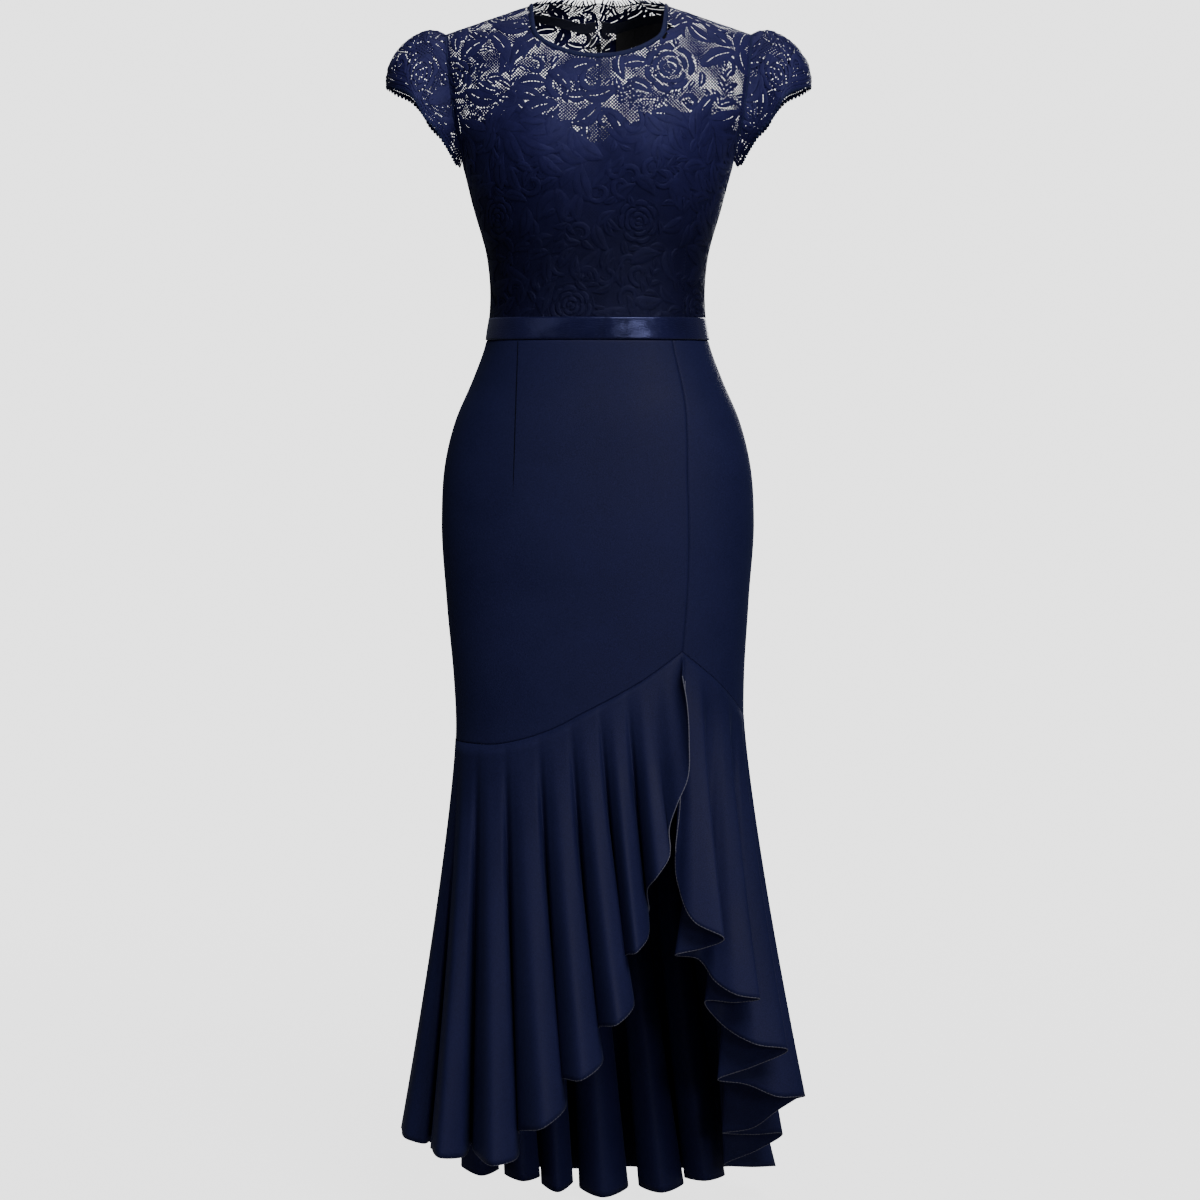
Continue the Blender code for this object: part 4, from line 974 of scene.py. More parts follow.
def ladder(lace, line, gap, rail=EYELET_RAIL, every=EYELET_EVERY, bar=EYELET_BAR):
    """A row of little holes beside a line: bars across a gap, closed by a thin rail."""
    aside = across_of(line)
    lace.mark(line + aside * gap / 2, abs(gap) / 2 + 0.0004, True)
    lace.band(line + aside * gap, rail)
    count = max(2, int(distances(line)[-1] / every))
    at = (np.arange(count) + 0.5) / count
    for ends in zip(resampled(line, at), resampled(line + aside * gap, at)):
        lace.thread(ends, bar)


def curl(lace, at, angle, size, hand, width):
    """A scroll that winds in to a round end, with a row of holes inside it."""
    t = np.linspace(0, 1, 17)
    line = turned(around((0.0, 0.0), 1.0 - 0.66 * t**0.8, t * 1.45 * math.pi), at, angle, size, hand)
    half = width * (0.40 + 0.60 * np.sin(math.pi * (0.12 + 0.80 * t)) + 0.30 * (t > 0.93))
    lace.band(line, half)
    inner = line[2:14] + across_of(line)[2:14] * (hand * half[2:14])[:, None]
    ladder(lace, inner, hand * EYELET_GAP)


def spray(lace, at, angle, size, hand, pairs, width):
    """A curved stem with leaves on both sides and one at its tip."""
    t = np.linspace(0, 1, 9)
    stem = turned(np.stack([t, 0.16 * np.sin(math.pi * t) + 0.10 * t**2], axis=-1), at, angle, size, hand)
    ways = np.gradient(stem, axis=0)
    for k in range(pairs):
        share = (k + 0.55) / (pairs + 0.35)
        foot, way = resampled(stem, share), resampled(ways, share)
        for side in (-1, 1):
            heading = math.atan2(way[1], way[0]) + side * math.radians(56 - 9 * k)
            long = size * (0.50 - 0.07 * k) * (1.0 if side == hand else 0.86)
            lace.band(*leaf_shape(foot, heading, long, long * width, LEAF_BEND, -side), True)
    heading = math.atan2(ways[-1][1], ways[-1][0])
    lace.band(*leaf_shape(stem[-1], heading, size * 0.38, size * 0.16, 0.08, hand), True)
    lace.band(stem, 0.0009)


def holes_arc(lace, at, angle, radius, spread):
    """A thin bent cord with a row of holes on each side."""
    t = np.linspace(-1, 1, 13)
    line = around(at, radius * (1.0 + 0.12 * t), angle + t * spread / 2)
    lace.band(line, 0.0011)
    aside = across_of(line) * 0.0009
    ladder(lace, line + aside, EYELET_GAP)
    ladder(lace, line - aside, -EYELET_GAP)


def flower(lace, at, size, angle):
    """A full flower: rings of curved petals, thin gaps between them, and holes along part of its rim."""
    t = np.linspace(-1, 1, 9)
    for inner, outer, count, phase in FLOWER_RINGS:
        for k in range(count):
            turn = angle + phase + (k + 0.12 * math.sin(k * 2.4)) * 2 * math.pi / count
            middle = (inner + outer) / 2 * size * (1.0 + 0.05 * math.sin(k * 1.9 + phase))
            spread = 2 * math.pi / count * (1.0 - 0.0011 / (middle * 2 * math.pi / count))
            line = around(at, middle * (1.0 + 0.10 * np.cos(t * math.pi / 2) - 0.05), turn + t * spread / 2)
            half = (outer - inner) / 2 * size * np.clip(1.0 - np.abs(t) ** 3.2, 0.12, 1.0) ** 0.55
            lace.band(line, half, False, True)
    for k in (0, 2, 5):
        ladder(lace, around(at, size * 1.02, angle + k * 0.9 + t * math.radians(27)), -EYELET_GAP)


def flow(place):
    """The way leaves lie at a place, which turns slowly over the panel."""
    a, h = place
    return 1.1 * math.sin(a * 37 + 1.3) + 1.3 * math.cos(h * 33 + 0.7) + 0.7 * math.sin((a + h) * 61)


def grow(lace, target, length, overlap, tries, keep=None, shut=0.22):
    """Leaves that lie along the flow, laid where they fit until the motifs cover their target share."""
    wanted = lace.wanted(keep)
    spots = lace.places[wanted]
    for n in range(tries):
        at = lace.spot(spots)
        side = 1 if lace.rng.random() < 0.5 else -1
        angle = flow(at) + side * (0.35 + 0.5 * lace.rng.random())
        long = length * (0.75 + 0.5 * lace.rng.random())
        wide = long * (0.38 + 0.14 * lace.rng.random())
        at = at - np.array([math.cos(angle), math.sin(angle)]) * long / 2
        line, half = leaf_shape(at, angle, long, wide, LEAF_BEND, side)
        if lace.fits(line, half, overlap, shut):
            lace.band(line, half, long > SLIT_LEAF)
        if n % 60 == 0 and (lace.cover & wanted).sum() > target * len(spots):
            break


def scatter_windows(lace, count, keep):
    """Open rounds of net spread unevenly over a panel."""
    low, high = WINDOW_SIZES
    spots = lace.places[lace.wanted(keep) & ~lace.cover]
    made = []
    for _ in range(count * 30):
        at = lace.spot(spots)
        if all(np.hypot(*(at - other)) > WINDOW_APART for other in made):
            size = low + (high - low) * lace.rng.random()
            lace.window(at, size, size * (0.55 + 0.3 * lace.rng.random()), flow(at))
            made.append(at)
        if len(made) == count:
            break


def scatter(lace, count, keep, draw):
    """Motifs by chance over a panel, in turn to the left and right. Draw says whether one fitted."""
    spots = lace.places[lace.wanted(keep)]
    made = 0
    for _ in range(count * 25):
        made += draw(lace.spot(spots), 1 if made % 2 else -1)
        if made == count:
            break


def sprays(lace, count, size, keep, overlap=0.25):
    """Leaf sprays along the flow, where they fit."""

    def draw(at, hand):
        long = size * (0.8 + 0.4 * lace.rng.random())
        line = turned(np.stack([np.linspace(0, 1.3, 9), np.zeros(9)], axis=-1), at, flow(at), long)
        fitted = lace.fits(line, long * 0.26, overlap)
        if fitted:
            spray(lace, at, flow(at), long, hand, 3, 0.44)
        return fitted

    scatter(lace, count, keep, draw)


def curls(lace, count, size, width, keep):
    """Scrolls with rows of holes, where they fit."""

    def draw(at, hand):
        line = turned(np.stack([np.linspace(-1, 1, 9), np.zeros(9)], axis=-1), at, 0.0, size)
        fitted = lace.fits(line, size, 0.18)
        if fitted:
            curl(lace, at, lace.rng.random() * 2 * math.pi, size, hand, width)
        return fitted

    scatter(lace, count, keep, draw)


def repeat(lace, keep, start):
    """The lace's repeat: flowers in a half-drop."""
    plane = lace.plane
    across, up = REPEAT
    rows, columns = plane.room.shape
    n = 0
    h = plane.h0 + up * 0.35
    while h < plane.h0 + rows * PITCH + up:
        a = plane.a0 - across + (start + (n % 2) * across / 2) % across
        while a < plane.a0 + columns * PITCH + across:
            at = np.array([a, h]) + lace.rng.normal(0, 0.004, 2)
            if keep(at):
                flower(lace, at, REPEAT_FLOWER, lace.rng.random() * 2)
            a += across
        h += up
        n += 1


def over_lining(lace, low, start, windows, scrolls, branches, *tries):
    """The closer lace below the yoke: its repeat of flowers, open rounds, scrolls, sprays and leaves."""
    repeat(lace, low, start)
    scatter_windows(lace, windows, low)
    curls(lace, scrolls, 0.014, 0.0034, low)
    sprays(lace, branches, 0.036, low)
    grow(lace, 0.66, 0.036, 0.45, tries[0], low)
    grow(lace, 0.74, 0.020, 0.40, tries[1], low)


# -------------------------------------------------------------------------------------------------- the pieces


def front_plane_place(px, py):
    """A place on the front panel's plane from a rough place in the front view, in pixels of 1200."""
    x = (px - 600) * 0.001157 + 0.0015
    k = (600 - py) / 3000
    z = -0.700 + (k * 3.51 + 0.0063) / (0.9976 + 0.07 * k)
    share = np.clip(x / 0.172, -0.99, 0.99)
    if z < CHEST:
        h = z - CHEST
    else:
        up = np.linspace(CHEST, min(z, shoulder_height(share) - 0.001), 40)
        h = distances(body_point(FRONT, np.full(40, share), up))[-1]
    line = body_point(FRONT, np.linspace(0, share, 40), np.full(40, min(z, -0.03)))
    return np.array([distances(line)[-1] * np.sign(share), h])


def make_front_lace(finish):
    """The whole front: an open yoke with its own motifs, and close lace over the lining."""
    lace = Lace(flatten(FRONT, 0, front_neck), 7)
    at = front_plane_place

    def low(places):
        return places[..., 1] < -0.026

    def high(places):
        return places[..., 1] > -0.032

    # Yoke: net left open, then flowers and scrolls, then leaves up to the openings
    for px, py, wide, tall, turn in YOKE_WINDOWS:
        lace.window(at(px, py), wide * WINDOW_SHARE, tall * WINDOW_SHARE, math.radians(turn))
    for px, py, size, turn in YOKE_FLOWERS:
        flower(lace, at(px, py), size, turn)
    for px, py, turn, *shape in YOKE_CURLS:
        curl(lace, at(px, py), math.radians(turn), *shape)
    for px, py, turn, radius, spread in YOKE_ARCS:
        holes_arc(lace, at(px, py), math.radians(turn), radius, math.radians(spread))
    for px, py, turn, *shape in YOKE_SPRAYS:
        spray(lace, at(px, py), math.radians(turn), *shape)
    grow(lace, 0.60, 0.044, 0.50, 900, high, 0.26)
    grow(lace, 0.66, 0.028, 0.45, 1200, high, 0.18)
    grow(lace, 0.72, 0.016, 0.35, 1200, high, 0.10)
    over_lining(lace, low, 0.030, 60, 40, 50, 900, 1400)
    lace.net(NET_HALF)
    return lace.build("bodice_front_lace_worked", finish)


def make_back_lace(side, hand, finish):
    """Half the back: close lace along the neck, an open yoke with a few sprays, and close lace below it."""
    lace = Lace(flatten(BACK, hand, back_neck), 11 + hand)
    near = np.linspace(0.02, 0.45, 12)
    top = limit_heights(BACK, near, back_neck)
    across = near * 0.200

    def low(places):
        return places[..., 1] < -0.036

    def yoke(places):
        return ~low(places)

    def edge(places):
        out = np.abs(places[..., 0])
        return places[..., 1] > np.interp(out, across, top) - BACK_EDGE_DEPTH * (out < across[-1])

    curls(lace, 5, 0.012, 0.0032, edge)
    grow(lace, 0.62, 0.032, 0.45, 500, edge)
    grow(lace, 0.76, 0.018, 0.40, 900, edge)
    sprays(lace, 9, 0.042, yoke, 0.05)
    over_lining(lace, low, 0.020, 32, 20, 26, 600, 900)
    lace.net(NET_HALF, edge)
    lace.net(NET_HALF_BACK, lambda places: yoke(places) & ~edge(places))
    lace.net(NET_HALF, low)
    return lace.build("bodice_back_lace_worked_" + side, finish)


def armhole(hand, count):
    """Points and outward normals round an armhole, from the front underarm over the shoulder to the back."""
    z = np.concatenate([np.linspace(UNDERARM, CHEST, 40)[:-1], dome_height(1.0, np.linspace(0.0, 1.0, 80))])
    halves = []
    for side in (FRONT, BACK):
        line = body_point(side, np.full(len(z), float(hand)), z)
        near = body_point(side, np.full(len(z), hand * 0.97), z)
        halves.append((line, outward(line, near, (0.0, side, 0.35))))
    line, out = (np.concatenate([front, back[-2::-1]]) for front, back in zip(*halves))
    at = np.linspace(0, 1, count)
    return resampled(line, at), unit(between(out, lengths(line), at))


def sleeve_surface(hand, count=161, steps=33):
    """A cap sleeve's grid, from the armhole out to the free edge."""
    edge, normals = armhole(hand, count)
    free = smooth([row[0] for row in SLEEVE_EDGE], [row[1:] for row in SLEEVE_EDGE], np.linspace(0, 1, count))
    tip = free[:, :3] * np.array([hand, 1.0, 1.0]) + np.array([SLEEVE_CENTRE, 0.0, 0.0])
    away = unit(np.cross(unit(np.gradient(edge, axis=0)), normals))
    away *= np.sign((away * (tip - edge)).sum(axis=1, keepdims=True))
    reach = np.linalg.norm(tip - edge, axis=1)[:, None]
    puff = free[:, 3:]
    first = edge + away * reach / 4 + normals * puff
    second = tip + (edge - tip) / 3 + puff * np.array([hand * PUFF_OUT, 0.0, PUFF_UP])
    rows = []
    for t in np.linspace(0, 1, steps):
        rows.append(edge * (1 - t) ** 3 + first * 3 * t * (1 - t) ** 2 + second * 3 * t**2 * (1 - t) + tip * t**3)
    return np.array(rows)


def flatten_sleeve(hand):
    """A cap sleeve's plane, with places along its armhole and how far the sleeve reaches from each."""
    grid = sleeve_surface(hand)
    run = distances(grid[0])
    reach = distances(grid)
    a = np.arange(0.0, run[-1], PITCH)
    h = np.arange(0.0, reach[-1].max() + 4 * PITCH, PITCH)
    columns = []
    for j in range(grid.shape[1]):
        past = np.maximum(h - reach[-1, j], 0.0)[:, None] * unit(grid[-1, j] - grid[-2, j])
        columns.append(between(grid[:, j], reach[:, j], h) + past)
    columns = np.array(columns)
    flat = np.stack([between(columns[:, i], run, a) for i in range(len(h))])
    ends = np.interp(a, run, reach[-1])
    room = np.minimum(ends[None] - h[:, None], 0 * a[None] + h[:, None] + 0.001)
    outside = grid_normals(flat, 1)[6, flat.shape[1] // 2] @ np.array([hand, 0.0, 1.0]) > 0
    return Plane(0.0, 0.0, flat, 1 if outside else -1, room), a, ends


def make_sleeve(side, hand, finish, cord_finish):
    """A cap sleeve's lace, and the corded edge with picots along it."""
    plane, a, ends = flatten_sleeve(hand)
    lace = Lace(plane, 23 + hand)

    def inset(depth, low=0.02, high=0.98, count=90, scallop=SCALLOP):
        """A scalloped line inside the free edge."""
        at = np.linspace(low, high, count) * a[-1]
        reach = np.interp(at, a, ends)
        h = reach - depth * np.clip(reach / 0.022, 0.10, 1.0)
        waves = np.abs(np.sin(at / a[-1] * math.pi * SCALLOPS)) ** 0.7
        return np.stack([at, h - scallop * (1 - waves)], axis=-1)

    # Scalloped edge: three corded lines with two rows of holes between
    for depth, half in ((0.0014, 0.0016), (0.0064, 0.0013), (0.0112, 0.0014)):
        line = inset(depth)
        line = line[line[:, 1] > 0.0010]
        lace.band(line, half * np.clip(np.interp(line[:, 0], a, ends) / 0.016, 0.4, 1.0))
    for depth in (0.0026, 0.0074):
        line = inset(depth, 0.05, 0.95)
        ladder(lace, line[line[:, 1] > 0.005], -0.0030, 0.0006, 0.0037, 0.00115)
    middle = a[-1] / 2
    for across, up, wide, tall in SLEEVE_WINDOWS:
        lace.window((middle + across, up), wide, tall)
    flower(lace, (middle - 0.056, 0.036), 0.023, 0.4)
    flower(lace, (middle + 0.060, 0.036), 0.023, 1.1)
    spray(lace, (middle - 0.002, 0.010), math.radians(88), 0.044, 1, 3, 0.40)
    curl(lace, (middle - 0.030, 0.062), math.radians(200), 0.012, 1, 0.0030)
    curl(lace, (middle + 0.032, 0.062), math.radians(-20), 0.012, -1, 0.0030)
    grow(lace, 0.68, 0.036, 0.50, 500)
    grow(lace, 0.78, 0.020, 0.45, 900)
    lace.net(NET_HALF)
    cloth = lace.build("cap_sleeve_worked_" + side, finish)

    # Corded rim and picots
    rim = inset(0.0002, 0.015, 0.985, 260, 0.0012)
    rim = rim[rim[:, 1] > 0.0005]
    flat = np.zeros(len(rim))
    points = plane.place(rim[:, 0], rim[:, 1], flat)
    normals = unit(plane.look(plane.normals, rim[:, 0], rim[:, 1]))
    away = unit(plane.place(rim[:, 0], rim[:, 1] + 0.002, flat) - points)
    parts = [tube_parts(points, normals, 0.0008, 1.0, 6)]
    for k in range(3, len(points) - 3, 4):
        picot = points[k] + away[k] * PICOT_REACH
        parts.append(tube_parts(picot, np.tile(normals[k], (4, 1)), PICOT_HALVES, 0.32, 8))
    return cloth, joined("sleeve_edging_" + side, parts, cord_finish)


def neckline(side, neck, hand=0):
    """Points, normals and directions off the edge along a neckline."""
    share = np.linspace(0.0, NECK_SHARE, 3001) * hand if hand else np.linspace(-NECK_SHARE, NECK_SHARE, 3001)
    z = dome_height(share, neck(share))
    moved = spread_at_slit(share, z) if side == BACK else share
    line = body_point(side, moved, z)
    below = body_point(side, moved, dome_height(share, neck(share) - 0.02))
    at = np.linspace(0, 1, 121)
    run = lengths(line)
    normals = unit(between(outward(line, below, (0.0, side, 0.6)), run, at))
    down = unit(between(unit(below - line), run, at))
    line = resampled(line, at)
    off = unit(np.cross(normals, unit(np.gradient(line, axis=0))))
    return line, normals, off * np.sign(-(off * down).sum(axis=1))[:, None]


def make_neck_band(finish):
    """The narrow rolled band round the front neckline."""
    line, normals, off = neckline(FRONT, front_neck)
    turn = np.linspace(0, 2 * math.pi, 17)[:-1]
    centre = line + off * 0.0024 - normals * 0.0004
    ring = off[:, None] * np.cos(turn)[:, None] * 0.0031 + normals[:, None] * np.sin(turn)[:, None] * 0.0013
    quads = grid_quads(len(line), len(turn), True)
    ends = np.array([[k, k + 1, len(turn) - 2 - k, len(turn) - 1 - k] for k in range(len(turn) // 2 - 1)])
    quads = np.concatenate([quads, ends[:, ::-1], ends + (len(line) - 1) * len(turn)])
    return mesh_object("neck_band_rolled", (centre[:, None] + ring).reshape(-1, 3), quads, finish)


def make_eyelashes(side, hand, finish):
    """Fine threads that stand off the back neckline, with the corded line they grow from."""
    line, normals, off = neckline(BACK, back_neck, hand)
    parts = [tube_parts(line + off * 0.0006, normals, 0.0009, 0.8, 6)]
    rng = np.random.default_rng(5 + hand)
    length = distances(line)[-1]
    last = len(line) - 1
    foot = 0.004
    while foot < length - 0.004:
        at = foot / length
        base = resampled(line, at)
        k = int(at * last)
        way = unit(line[min(k + 1, last)] - line[max(k - 1, 0)])
        lean = off[k] + way * rng.normal(0.0, 0.10) + normals[k] * rng.normal(0.05, 0.08)
        long = rng.uniform(*LASH_LENGTHS)
        bend = way * rng.normal(0.0, 0.0008)
        thread = np.stack([base, base + lean * long * 0.5 + bend, base + lean * long])
        parts.append(tube_parts(thread, np.tile(normals[k], (3, 1)), LASH_HALVES, 1.0, 4))
        foot += rng.uniform(*LASH_GAPS)
    return joined("neck_eyelash_" + side, parts, finish)


def lining(name, side, share, rows, top, facing, finish):
    """A lining piece from the waist up to its top edge."""
    z = WAIST + (top - WAIST)[None] * np.linspace(0, 1, rows)[:, None]
    points = body_point(side, np.broadcast_to(share, z.shape), z)
    return shell("lining_worked_" + name, points, facing, -LINING_SINK, LINING_THICK, finish)


def make_linings(finish, side_finish):
    made = []
    spans = (
        ("left", -1.0, LINING_SEAM_LEFT, 26, side_finish),
        ("centre", LINING_SEAM_LEFT, LINING_SEAM_RIGHT, 70, finish),
        ("right", LINING_SEAM_RIGHT, 1.0, 26, side_finish),
    )
    for name, low, high, count, own in spans:
        share = np.sin(np.linspace(math.asin(low), math.asin(high), count))
        made.append(("lining_front_" + name, lining(name, FRONT, share, 60, sweetheart(share), 1, own)))
    for name, hand in SIDES:
        share = section(hand)
        worked = lining("back_" + name, BACK, share, 56, back_lining_top(share), -hand, finish)
        made.append(("lining_back_" + name, worked))
    return made


def make_ribbon(name, side, hand, finish):
    """Satin ribbon at the waist, slightly crowned, with faint ripples along it."""
    facing = -hand if hand else 1
    t = np.linspace(0, 1, 15)
    points = body_point(side, *np.meshgrid(section(hand), WAIST + (RIBBON_TOP - WAIST) * t))
    crown = 0.0011 + 0.0006 * np.sin(math.pi * t) ** 0.5
    waves = 0.00025 * np.sin(points[..., 0] * 95 + 1.3 * np.sin(points[..., 2] * 160)) * np.sin(math.pi * t)[:, None]
    points = points + grid_normals(points, facing) * (crown[:, None] + waves)[..., None]
    return shell(name, points, facing, 0.0, RIBBON_THICK, finish)


def flounce_seam_height(side, share):
    """Height of the flounce seam all round."""
    if side == BACK:
        rise = FLOUNCE_SEAM_RIGHT[-1][1] - FLOUNCE_SEAM_LEVEL
        return FLOUNCE_SEAM_LEVEL + rise * ((share + 1) / 2) ** 3
    left = smooth(*zip(*FLOUNCE_SEAM_LEFT), np.minimum(share, POINT_SHARE))
    right = smooth(*zip(*FLOUNCE_SEAM_RIGHT), np.maximum(share, POINT_SHARE))
    return np.where(share <= POINT_SHARE, left, right)


def skirt_height(side, share, v):
    """Heights of the skirt's rows, which turn from level at the waist to the flounce seam's line."""
    level = SKIRT_TOP + (FLOUNCE_SEAM_LEVEL - SKIRT_TOP) * v
    return level + (flounce_seam_height(side, share) - FLOUNCE_SEAM_LEVEL) * v**3


def front_skirt(hand, s, v):
    """The main front for hand -1, and the narrow front right of the long seam for 1."""
    level = skirt_height(FRONT, POINT_SHARE + 0.0 * s, v)
    seam = np.arcsin(smooth(*zip(*FRONT_SEAM), level)) * 2 / math.pi
    share = shares(-1 + (seam + 1) * s if hand < 0 else seam + (1 - seam) * s)
    return body_point(FRONT, share, skirt_height(FRONT, share, v))


def back_skirt(hand, s, v):
    share = hand * shares(s)
    return body_point(BACK, share, skirt_height(BACK, share, v))


def with_edges(count, reach):
    """Shares from 0 to 1, with more near both ends for the seams' turned edges."""
    near = np.array([0.0, 0.0006, 0.0012, 0.0021, 0.0034]) / reach
    return np.concatenate([near, np.linspace(near[-1], 1 - near[-1], count)[1:-1], 1 - near[::-1]])


def seam_dip(s, reach, depth):
    """How far a panel turns in beside its seams."""
    return depth * np.exp(-((np.minimum(s, 1 - s) * reach / 0.0011) ** 2))


def make_skirt(finish):
    made = []
    for name, surface, hand, facing, count, reach in (
        ("skirt_front", front_skirt, -1, 1, 90, 0.30),
        ("skirt_front_right", front_skirt, 1, 1, 34, 0.11),
        ("skirt_back_left", back_skirt, -1, 1, 60, 0.24),
        ("skirt_back_right", back_skirt, 1, -1, 60, 0.24),
    ):
        s = with_edges(count, reach)
        v = with_edges(90, SKIRT_LENGTH)[::-1]
        points = surface(hand, *np.meshgrid(s, v))
        dip = seam_dip(s, reach, 0.0011)[None] + seam_dip(v, SKIRT_LENGTH, 0.0009)[:, None]
        soft = 0.0006 * np.sin(points[..., 0] * 21 + points[..., 2] * 9) * np.sin(points[..., 2] * 17 + 1.0)
        points = points + grid_normals(points, facing) * (soft - dip)[..., None]
        made.append((name, shell(name + "_worked", points, facing, 0.0, SKIRT_THICK, finish)))
    return made


def make_darts(finish):
    """The darts of the skirt, as fine stitched creases: a raised cord in a near-black finish, painted shade along each
    crease.
    """
    made = []
    t = np.linspace(0.0, 1.0, 60)
    width = 0.00062 * np.clip((1.0 - t) * 8, 0.15, 1.0)
    for k, (side, top, tip, end) in enumerate(DARTS):
        z = SKIRT_TOP - 0.002 + (end - SKIRT_TOP) * t
        low, high = (body_point(side, np.full(len(z), share), z)[:, 0] for share in (-1.0, 1.0))
        share = (2 * (top + (tip - top) * t) - low - high) / (high - low)
        line = body_point(side, share, z)
        out = outward(line, body_point(side, share + 0.01, z), (0.0, side, 0.0))
        parts = [tube_parts(line + out * 0.0003, out, width, 0.35, 6)]
        made.append(joined(f"skirt_dart_{k + 1}", parts, finish))
    return made


def flounce(hem, seam, columns, seed):
    """A wall from the flounce seam down to a folded hem, flaring as it falls and wandering a little."""
    places = np.array([row[1:] for row in hem])
    run = lengths(places)
    s, fall = np.meshgrid(np.linspace(0, 1, columns), np.linspace(0, 1, 60) ** 0.85)
    rng = np.random.default_rng(seed)
    wander = np.zeros_like(s)
    for _ in range(5):
        waves = rng.integers(3, 14)
        wander += rng.normal(0, 0.0011) * np.sin(2 * math.pi * (waves * s + rng.random()) + rng.normal(0, 2.2) * fall)
    moved = np.clip(s + wander * fall * (1 - fall) * 4 * np.sin(math.pi * s) ** 0.5, 0, 1)
    top = resampled(seam, np.clip(smooth(run, [row[0] for row in hem], moved), 0.0, 1.0))
    low = smooth(run, places, moved)
    level = top[..., :2] + (low - top)[..., :2] * fall[..., None] ** FLOUNCE_FLARE
    height = top[..., 2:] + (low - top)[..., 2:] * fall[..., None]
    return np.concatenate([level, height], axis=-1)


def make_flounces(finish, thread_finish):
    """The flounces, each with its cloth and the overlock thread round its hem."""
    t = np.linspace(0, 1, 401)
    one = np.ones_like(t)
    back_seam = np.concatenate([back_skirt(1, t[::-1], one), back_skirt(-1, t, one)[1:]])
    left = flounce(LEFT_HEM, front_skirt(-1, t, one), 560, 3)
    right = flounce(RIGHT_HEM, front_skirt(1, t, one), 380, 4)
    back = flounce(BACK_HEM, back_seam, 700, 5)
    for before, after in ((right, back), (back, left)):
        before[:, -1] = after[:, 0] = (before[:, -1] + after[:, 0]) / 2
    made = []
    for name, points in (("flounce_front_left", left), ("flounce_front_right", right), ("flounce_back", back)):
        normals = grid_normals(points, -1)[-1]
        hem = points[-1] - normals * (FLOUNCE_THICK / 2)
        count = int(distances(hem)[-1] / HEM_STITCH)
        at = np.linspace(0, 1, count)
        swell = 0.00046 + 0.00012 * (np.arange(count) % 2)
        thread = tube_parts(resampled(hem, at), unit(between(normals, lengths(hem), at)), swell, 1.15, 6)
        worked = shell(name + "_worked", points, -1, 0.0, FLOUNCE_THICK, finish)
        made.append((name, worked, joined(name + "_hem", [thread], thread_finish)))
    return made


def make_bodice_seams(finish):
    """Cords on the bodice's seams: round the armholes, over the shoulders and down the sides."""
    cords = []
    for name, hand in SIDES:
        line, normals = (np.concatenate([rows, rows[:1]]) for rows in armhole(hand, 181))
        at = np.linspace(0, 1, 260)
        out = unit(between(normals, lengths(line), at))
        swell = 0.0019 + 0.00018 * np.sin(np.arange(len(at)) * 2.1)
        cords.append(("armhole_seam_" + name, resampled(line, at) - out * 0.0006, out, swell, 0.75, 10))
    for name, hand in SIDES:
        share = hand * np.linspace(NECK_SHARE, 1.0, 60)
        line = body_point(FRONT, share, shoulder_height(share) - 1e-5)
        line[:, 1] = 0.0
        cords.append(("shoulder_seam_" + name, line, np.tile([0.0, 0.0, 1.0], (60, 1)), 0.0011, 0.7))
    for name, hand in SIDES:
        line = body_point(FRONT, np.full(60, float(hand)), np.linspace(WAIST, UNDERARM, 60))
        cords.append(("side_seam_" + name, line, np.tile([float(hand), 0.0, 0.0], (60, 1)), 0.0009, 0.8))
    return [joined(name, [tube_parts(*cord)], finish) for name, *cord in cords]


def make_zip_teeth(finish):
    """Two rows of interlocked teeth on the zip's chain."""
    lo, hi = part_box("zip_chain")
    chain = np.array([v.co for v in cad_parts["zip_chain"].data.vertices], float)
    chain = chain[np.argsort(chain[:, 2])]
    corners = np.array([(x, y, z) for x in (-1, 1) for y in (-1, 1) for z in (-1, 1)]) * TOOTH_HALF
    quads = [(0, 1, 3, 2), (4, 6, 7, 5), (0, 4, 5, 1), (2, 3, 7, 6), (0, 2, 6, 4), (1, 5, 7, 3)]
    parts = []
    z = hi.z - 0.001
    while z > lo.z + 0.001:
        near = chain[np.abs(chain[:, 2] - z) < 0.03]
        y = np.interp(z, near[:, 2], near[:, 1]) if len(near) else chain[-1, 1]
        side = -1 if len(parts) % 2 else 1
        parts.append((corners + np.array([form("centre", z) + side * TOOTH_ASIDE, y - 0.0004, z]), quads))
        z -= TOOTH_EVERY
    return joined("zip_teeth", parts, finish)


def aimed(name, data, place, way):
    """An object at a place, looking a way."""
    made = bpy.data.objects.new(name, data)
    bpy.context.scene.collection.objects.link(made)
    made.location = place
    made.rotation_euler = way.to_track_quat("-Z", "Y").to_euler()
    return made


def add_camera():
    """The photograph's angle: level with the knees of the dress, four degrees above them."""
    data = bpy.data.cameras.new("camera")
    data.lens = 90.0
    data.sensor_width = 36.0
    data.clip_end = 100.0
    tilt = math.radians(CAMERA_TILT)
    back = Vector((0.0, -math.cos(tilt), math.sin(tilt)))
    bpy.context.scene.camera = aimed("camera", data, Vector(CAMERA_TARGET) + back * CAMERA_DISTANCE, -back)


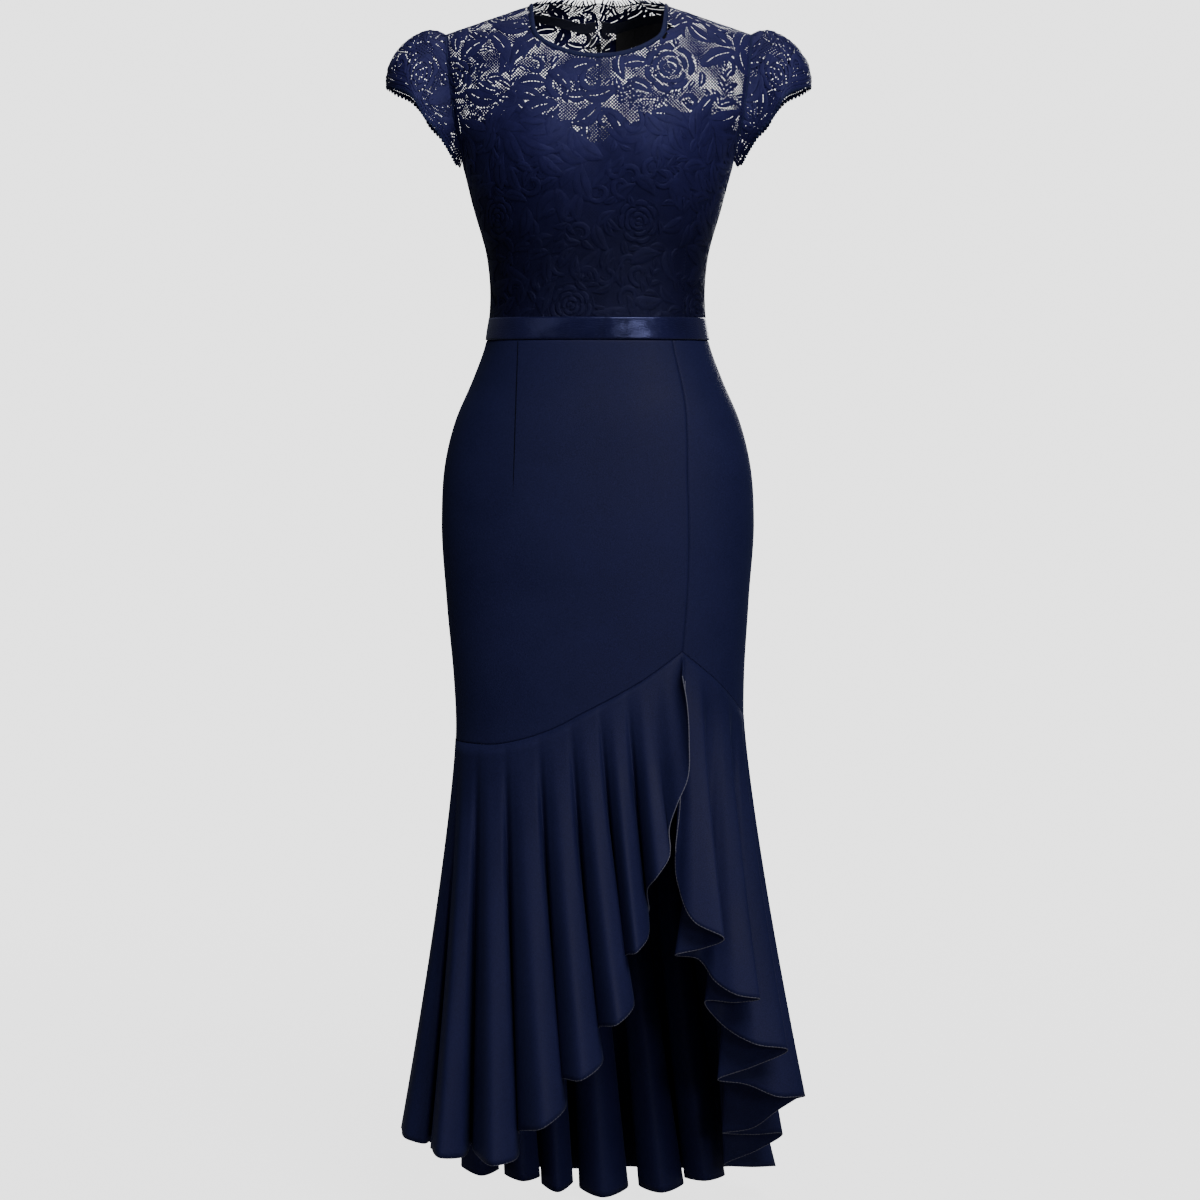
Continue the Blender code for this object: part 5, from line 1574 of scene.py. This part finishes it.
def add_world():
    """White round the dress for the eye, and a dim soft sky to light it."""
    world = bpy.data.worlds.new("world")
    bpy.context.scene.world = world
    world.use_nodes = True
    tree = world.node_tree
    sky = tree.nodes["Background"]
    sky.inputs["Color"].default_value = SKY
    sky.inputs["Strength"].default_value = SKY_LIGHT
    white = tree.nodes.new("ShaderNodeBackground")
    white.inputs["Strength"].default_value = WHITE_SEEN
    seen = tree.nodes.new("ShaderNodeLightPath")
    mix = tree.nodes.new("ShaderNodeMixShader")
    tree.links.new(seen.outputs["Is Camera Ray"], mix.inputs["Fac"])
    tree.links.new(sky.outputs["Background"], mix.inputs[1])
    tree.links.new(white.outputs["Background"], mix.inputs[2])
    tree.links.new(mix.outputs["Shader"], tree.nodes["World Output"].inputs["Surface"])


def add_stage():
    """The floor, and the lights round the dress."""
    add_world()
    turn = np.linspace(0, 2 * math.pi, FLOOR_SIDES + 1)[:-1]
    reach = np.linspace(0.0, 1.0, FLOOR_RINGS + 1)[1:]
    ring = np.stack([np.cos(turn), np.sin(turn), np.zeros(FLOOR_SIDES)], axis=-1)
    points = (ring[None] * (reach * FLOOR_RADIUS)[:, None, None] + np.array([0.0, 0.0, FLOOR])).reshape(-1, 3)
    quads = grid_quads(FLOOR_RINGS, FLOOR_SIDES, True)[:, ::-1]
    middle = [[k, k + 1, FLOOR_SIDES - 2 - k, FLOOR_SIDES - 1 - k] for k in range(FLOOR_SIDES // 2 - 1)]
    floor = mesh_object("floor", points, np.concatenate([quads, middle]), floor_material(), False)
    for name, place, target, size, power, diffuse in LIGHTS:
        data = bpy.data.lights.new(name, "AREA")
        data.shape = "SQUARE"
        data.size = size
        data.energy = power
        data.diffuse_factor = diffuse
        aimed(name, data, place, Vector(target) - Vector(place))


def both(words):
    """The names in a text, with left and then right in place of each *."""
    names = []
    for word in words.split():
        names += [word.replace("*", side) for side, _ in SIDES] if "*" in word else [word]
    return tuple(names)


def main():
    add_camera()
    add_stage()
    crepe = crepe_material()
    lace = lace_material("lace", (0.0048, 0.0043, 0.0240), (0.0092, 0.0085, 0.0420), 0.46, 0.04)
    cord = lace_material("lace_cord", (0.0030, 0.0038, 0.0160), (0.0065, 0.0078, 0.0300), 0.60, 0.03)
    smooth_lining = lining_material("lining", (0.0052, 0.0049, 0.0275), (0.0074, 0.0070, 0.0370))
    side_lining = lining_material("lining_side", (0.0026, 0.0032, 0.0135), (0.0040, 0.0048, 0.0190))
    # Near-black finish of the darts: painted shade along the creases
    dart_painted_shade = lace_material("dart_painted_shade", (0.0010, 0.0012, 0.0045), (0.0022, 0.0028, 0.0090), 0.8, 0.0)
    satin = satin_material()
    tape = tape_material()
    low, high = (0.35, TAPE_DARK), (0.65, TAPE_LIGHT)
    sheer = fine_material("zip_tape_net", TAPE, 0.75, (700.0, 1.0), low, high, (0.0002, 0.7), Alpha=SHEER)
    weave = (900.0, 2.0, 0.55, (1.0, 1.0, 4.0))
    low, high = (0.35, (0.009, 0.008, 0.010)), (0.65, (0.018, 0.016, 0.018))
    plain, bump = (0.012, 0.011, 0.012), (0.0002, 0.6)
    label = fine_material("label_blank", plain, 0.55, weave, low, high, bump, Sheen_Weight=0.2)
    low, high = (0.3, (0.035, 0.035, 0.062)), (0.7, (0.130, 0.130, 0.175))
    thread = fine_material("hem_thread", (0.085, 0.085, 0.115), 0.7, (1800.0, 2.0), low, high, (0.0003, 0.8))
    metal = metal_material()

    pieces = [(make_front_lace(lace), "lace", "bodice_front_lace")]
    for side, hand in SIDES:
        pieces.append((make_back_lace(side, hand, lace), "lace", "bodice_back_lace_" + side))
        worked, edging = make_sleeve(side, hand, lace, cord)
        pieces += [(worked, "lace", "cap_sleeve_" + side), (edging, "lace", None)]
        pieces.append((make_eyelashes(side, hand, cord), "lace", None))
    pieces.append((make_neck_band(cord), "lace", "neck_band_front"))
    pieces += [(worked, "lining", node) for node, worked in make_linings(smooth_lining, side_lining)]
    pieces.append((make_ribbon("waist_ribbon_worked", FRONT, 0, satin), "satin", "waist_ribbon_front"))
    for side, hand in SIDES:
        worked = make_ribbon("waist_ribbon_worked_" + side, BACK, hand, satin)
        pieces.append((worked, "satin", "waist_ribbon_back_" + side))
    pieces += [(worked, "crepe", node) for node, worked in make_skirt(crepe)]
    for node, worked, hem in make_flounces(crepe, thread):
        pieces += [(worked, "crepe", node), (hem, "crepe", None)]
    pieces += [(dart, "crepe", None) for dart in make_darts(dart_painted_shade)]
    pieces += [(seam, "lace", None) for seam in make_bodice_seams(cord)]
    pieces.append((make_zip_teeth(metal), "zip_chain", "zip_chain"))
    for piece, slot, node in pieces:
        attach(piece, "dress")
        if node:
            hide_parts(node)

    shown = {piece.name: piece for piece, slot, node in pieces}
    finishes = {"zip_tape_*": sheer, "neck_tape_back_*": tape, "neck_label": label, "zip_slider zip_pull": metal}
    for words, finish in finishes.items():
        for node in both(words):
            shown[node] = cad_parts[node]
            shown[node].material_slots[0].material = finish
    for row, (wide, long, area), held, under, trims in SHEETS:
        for side in ("left", "right") if "*" in row else ("*",):
            rests_on = both(under.replace("*", side))
            extras = both(trims.replace("*", side))


main()
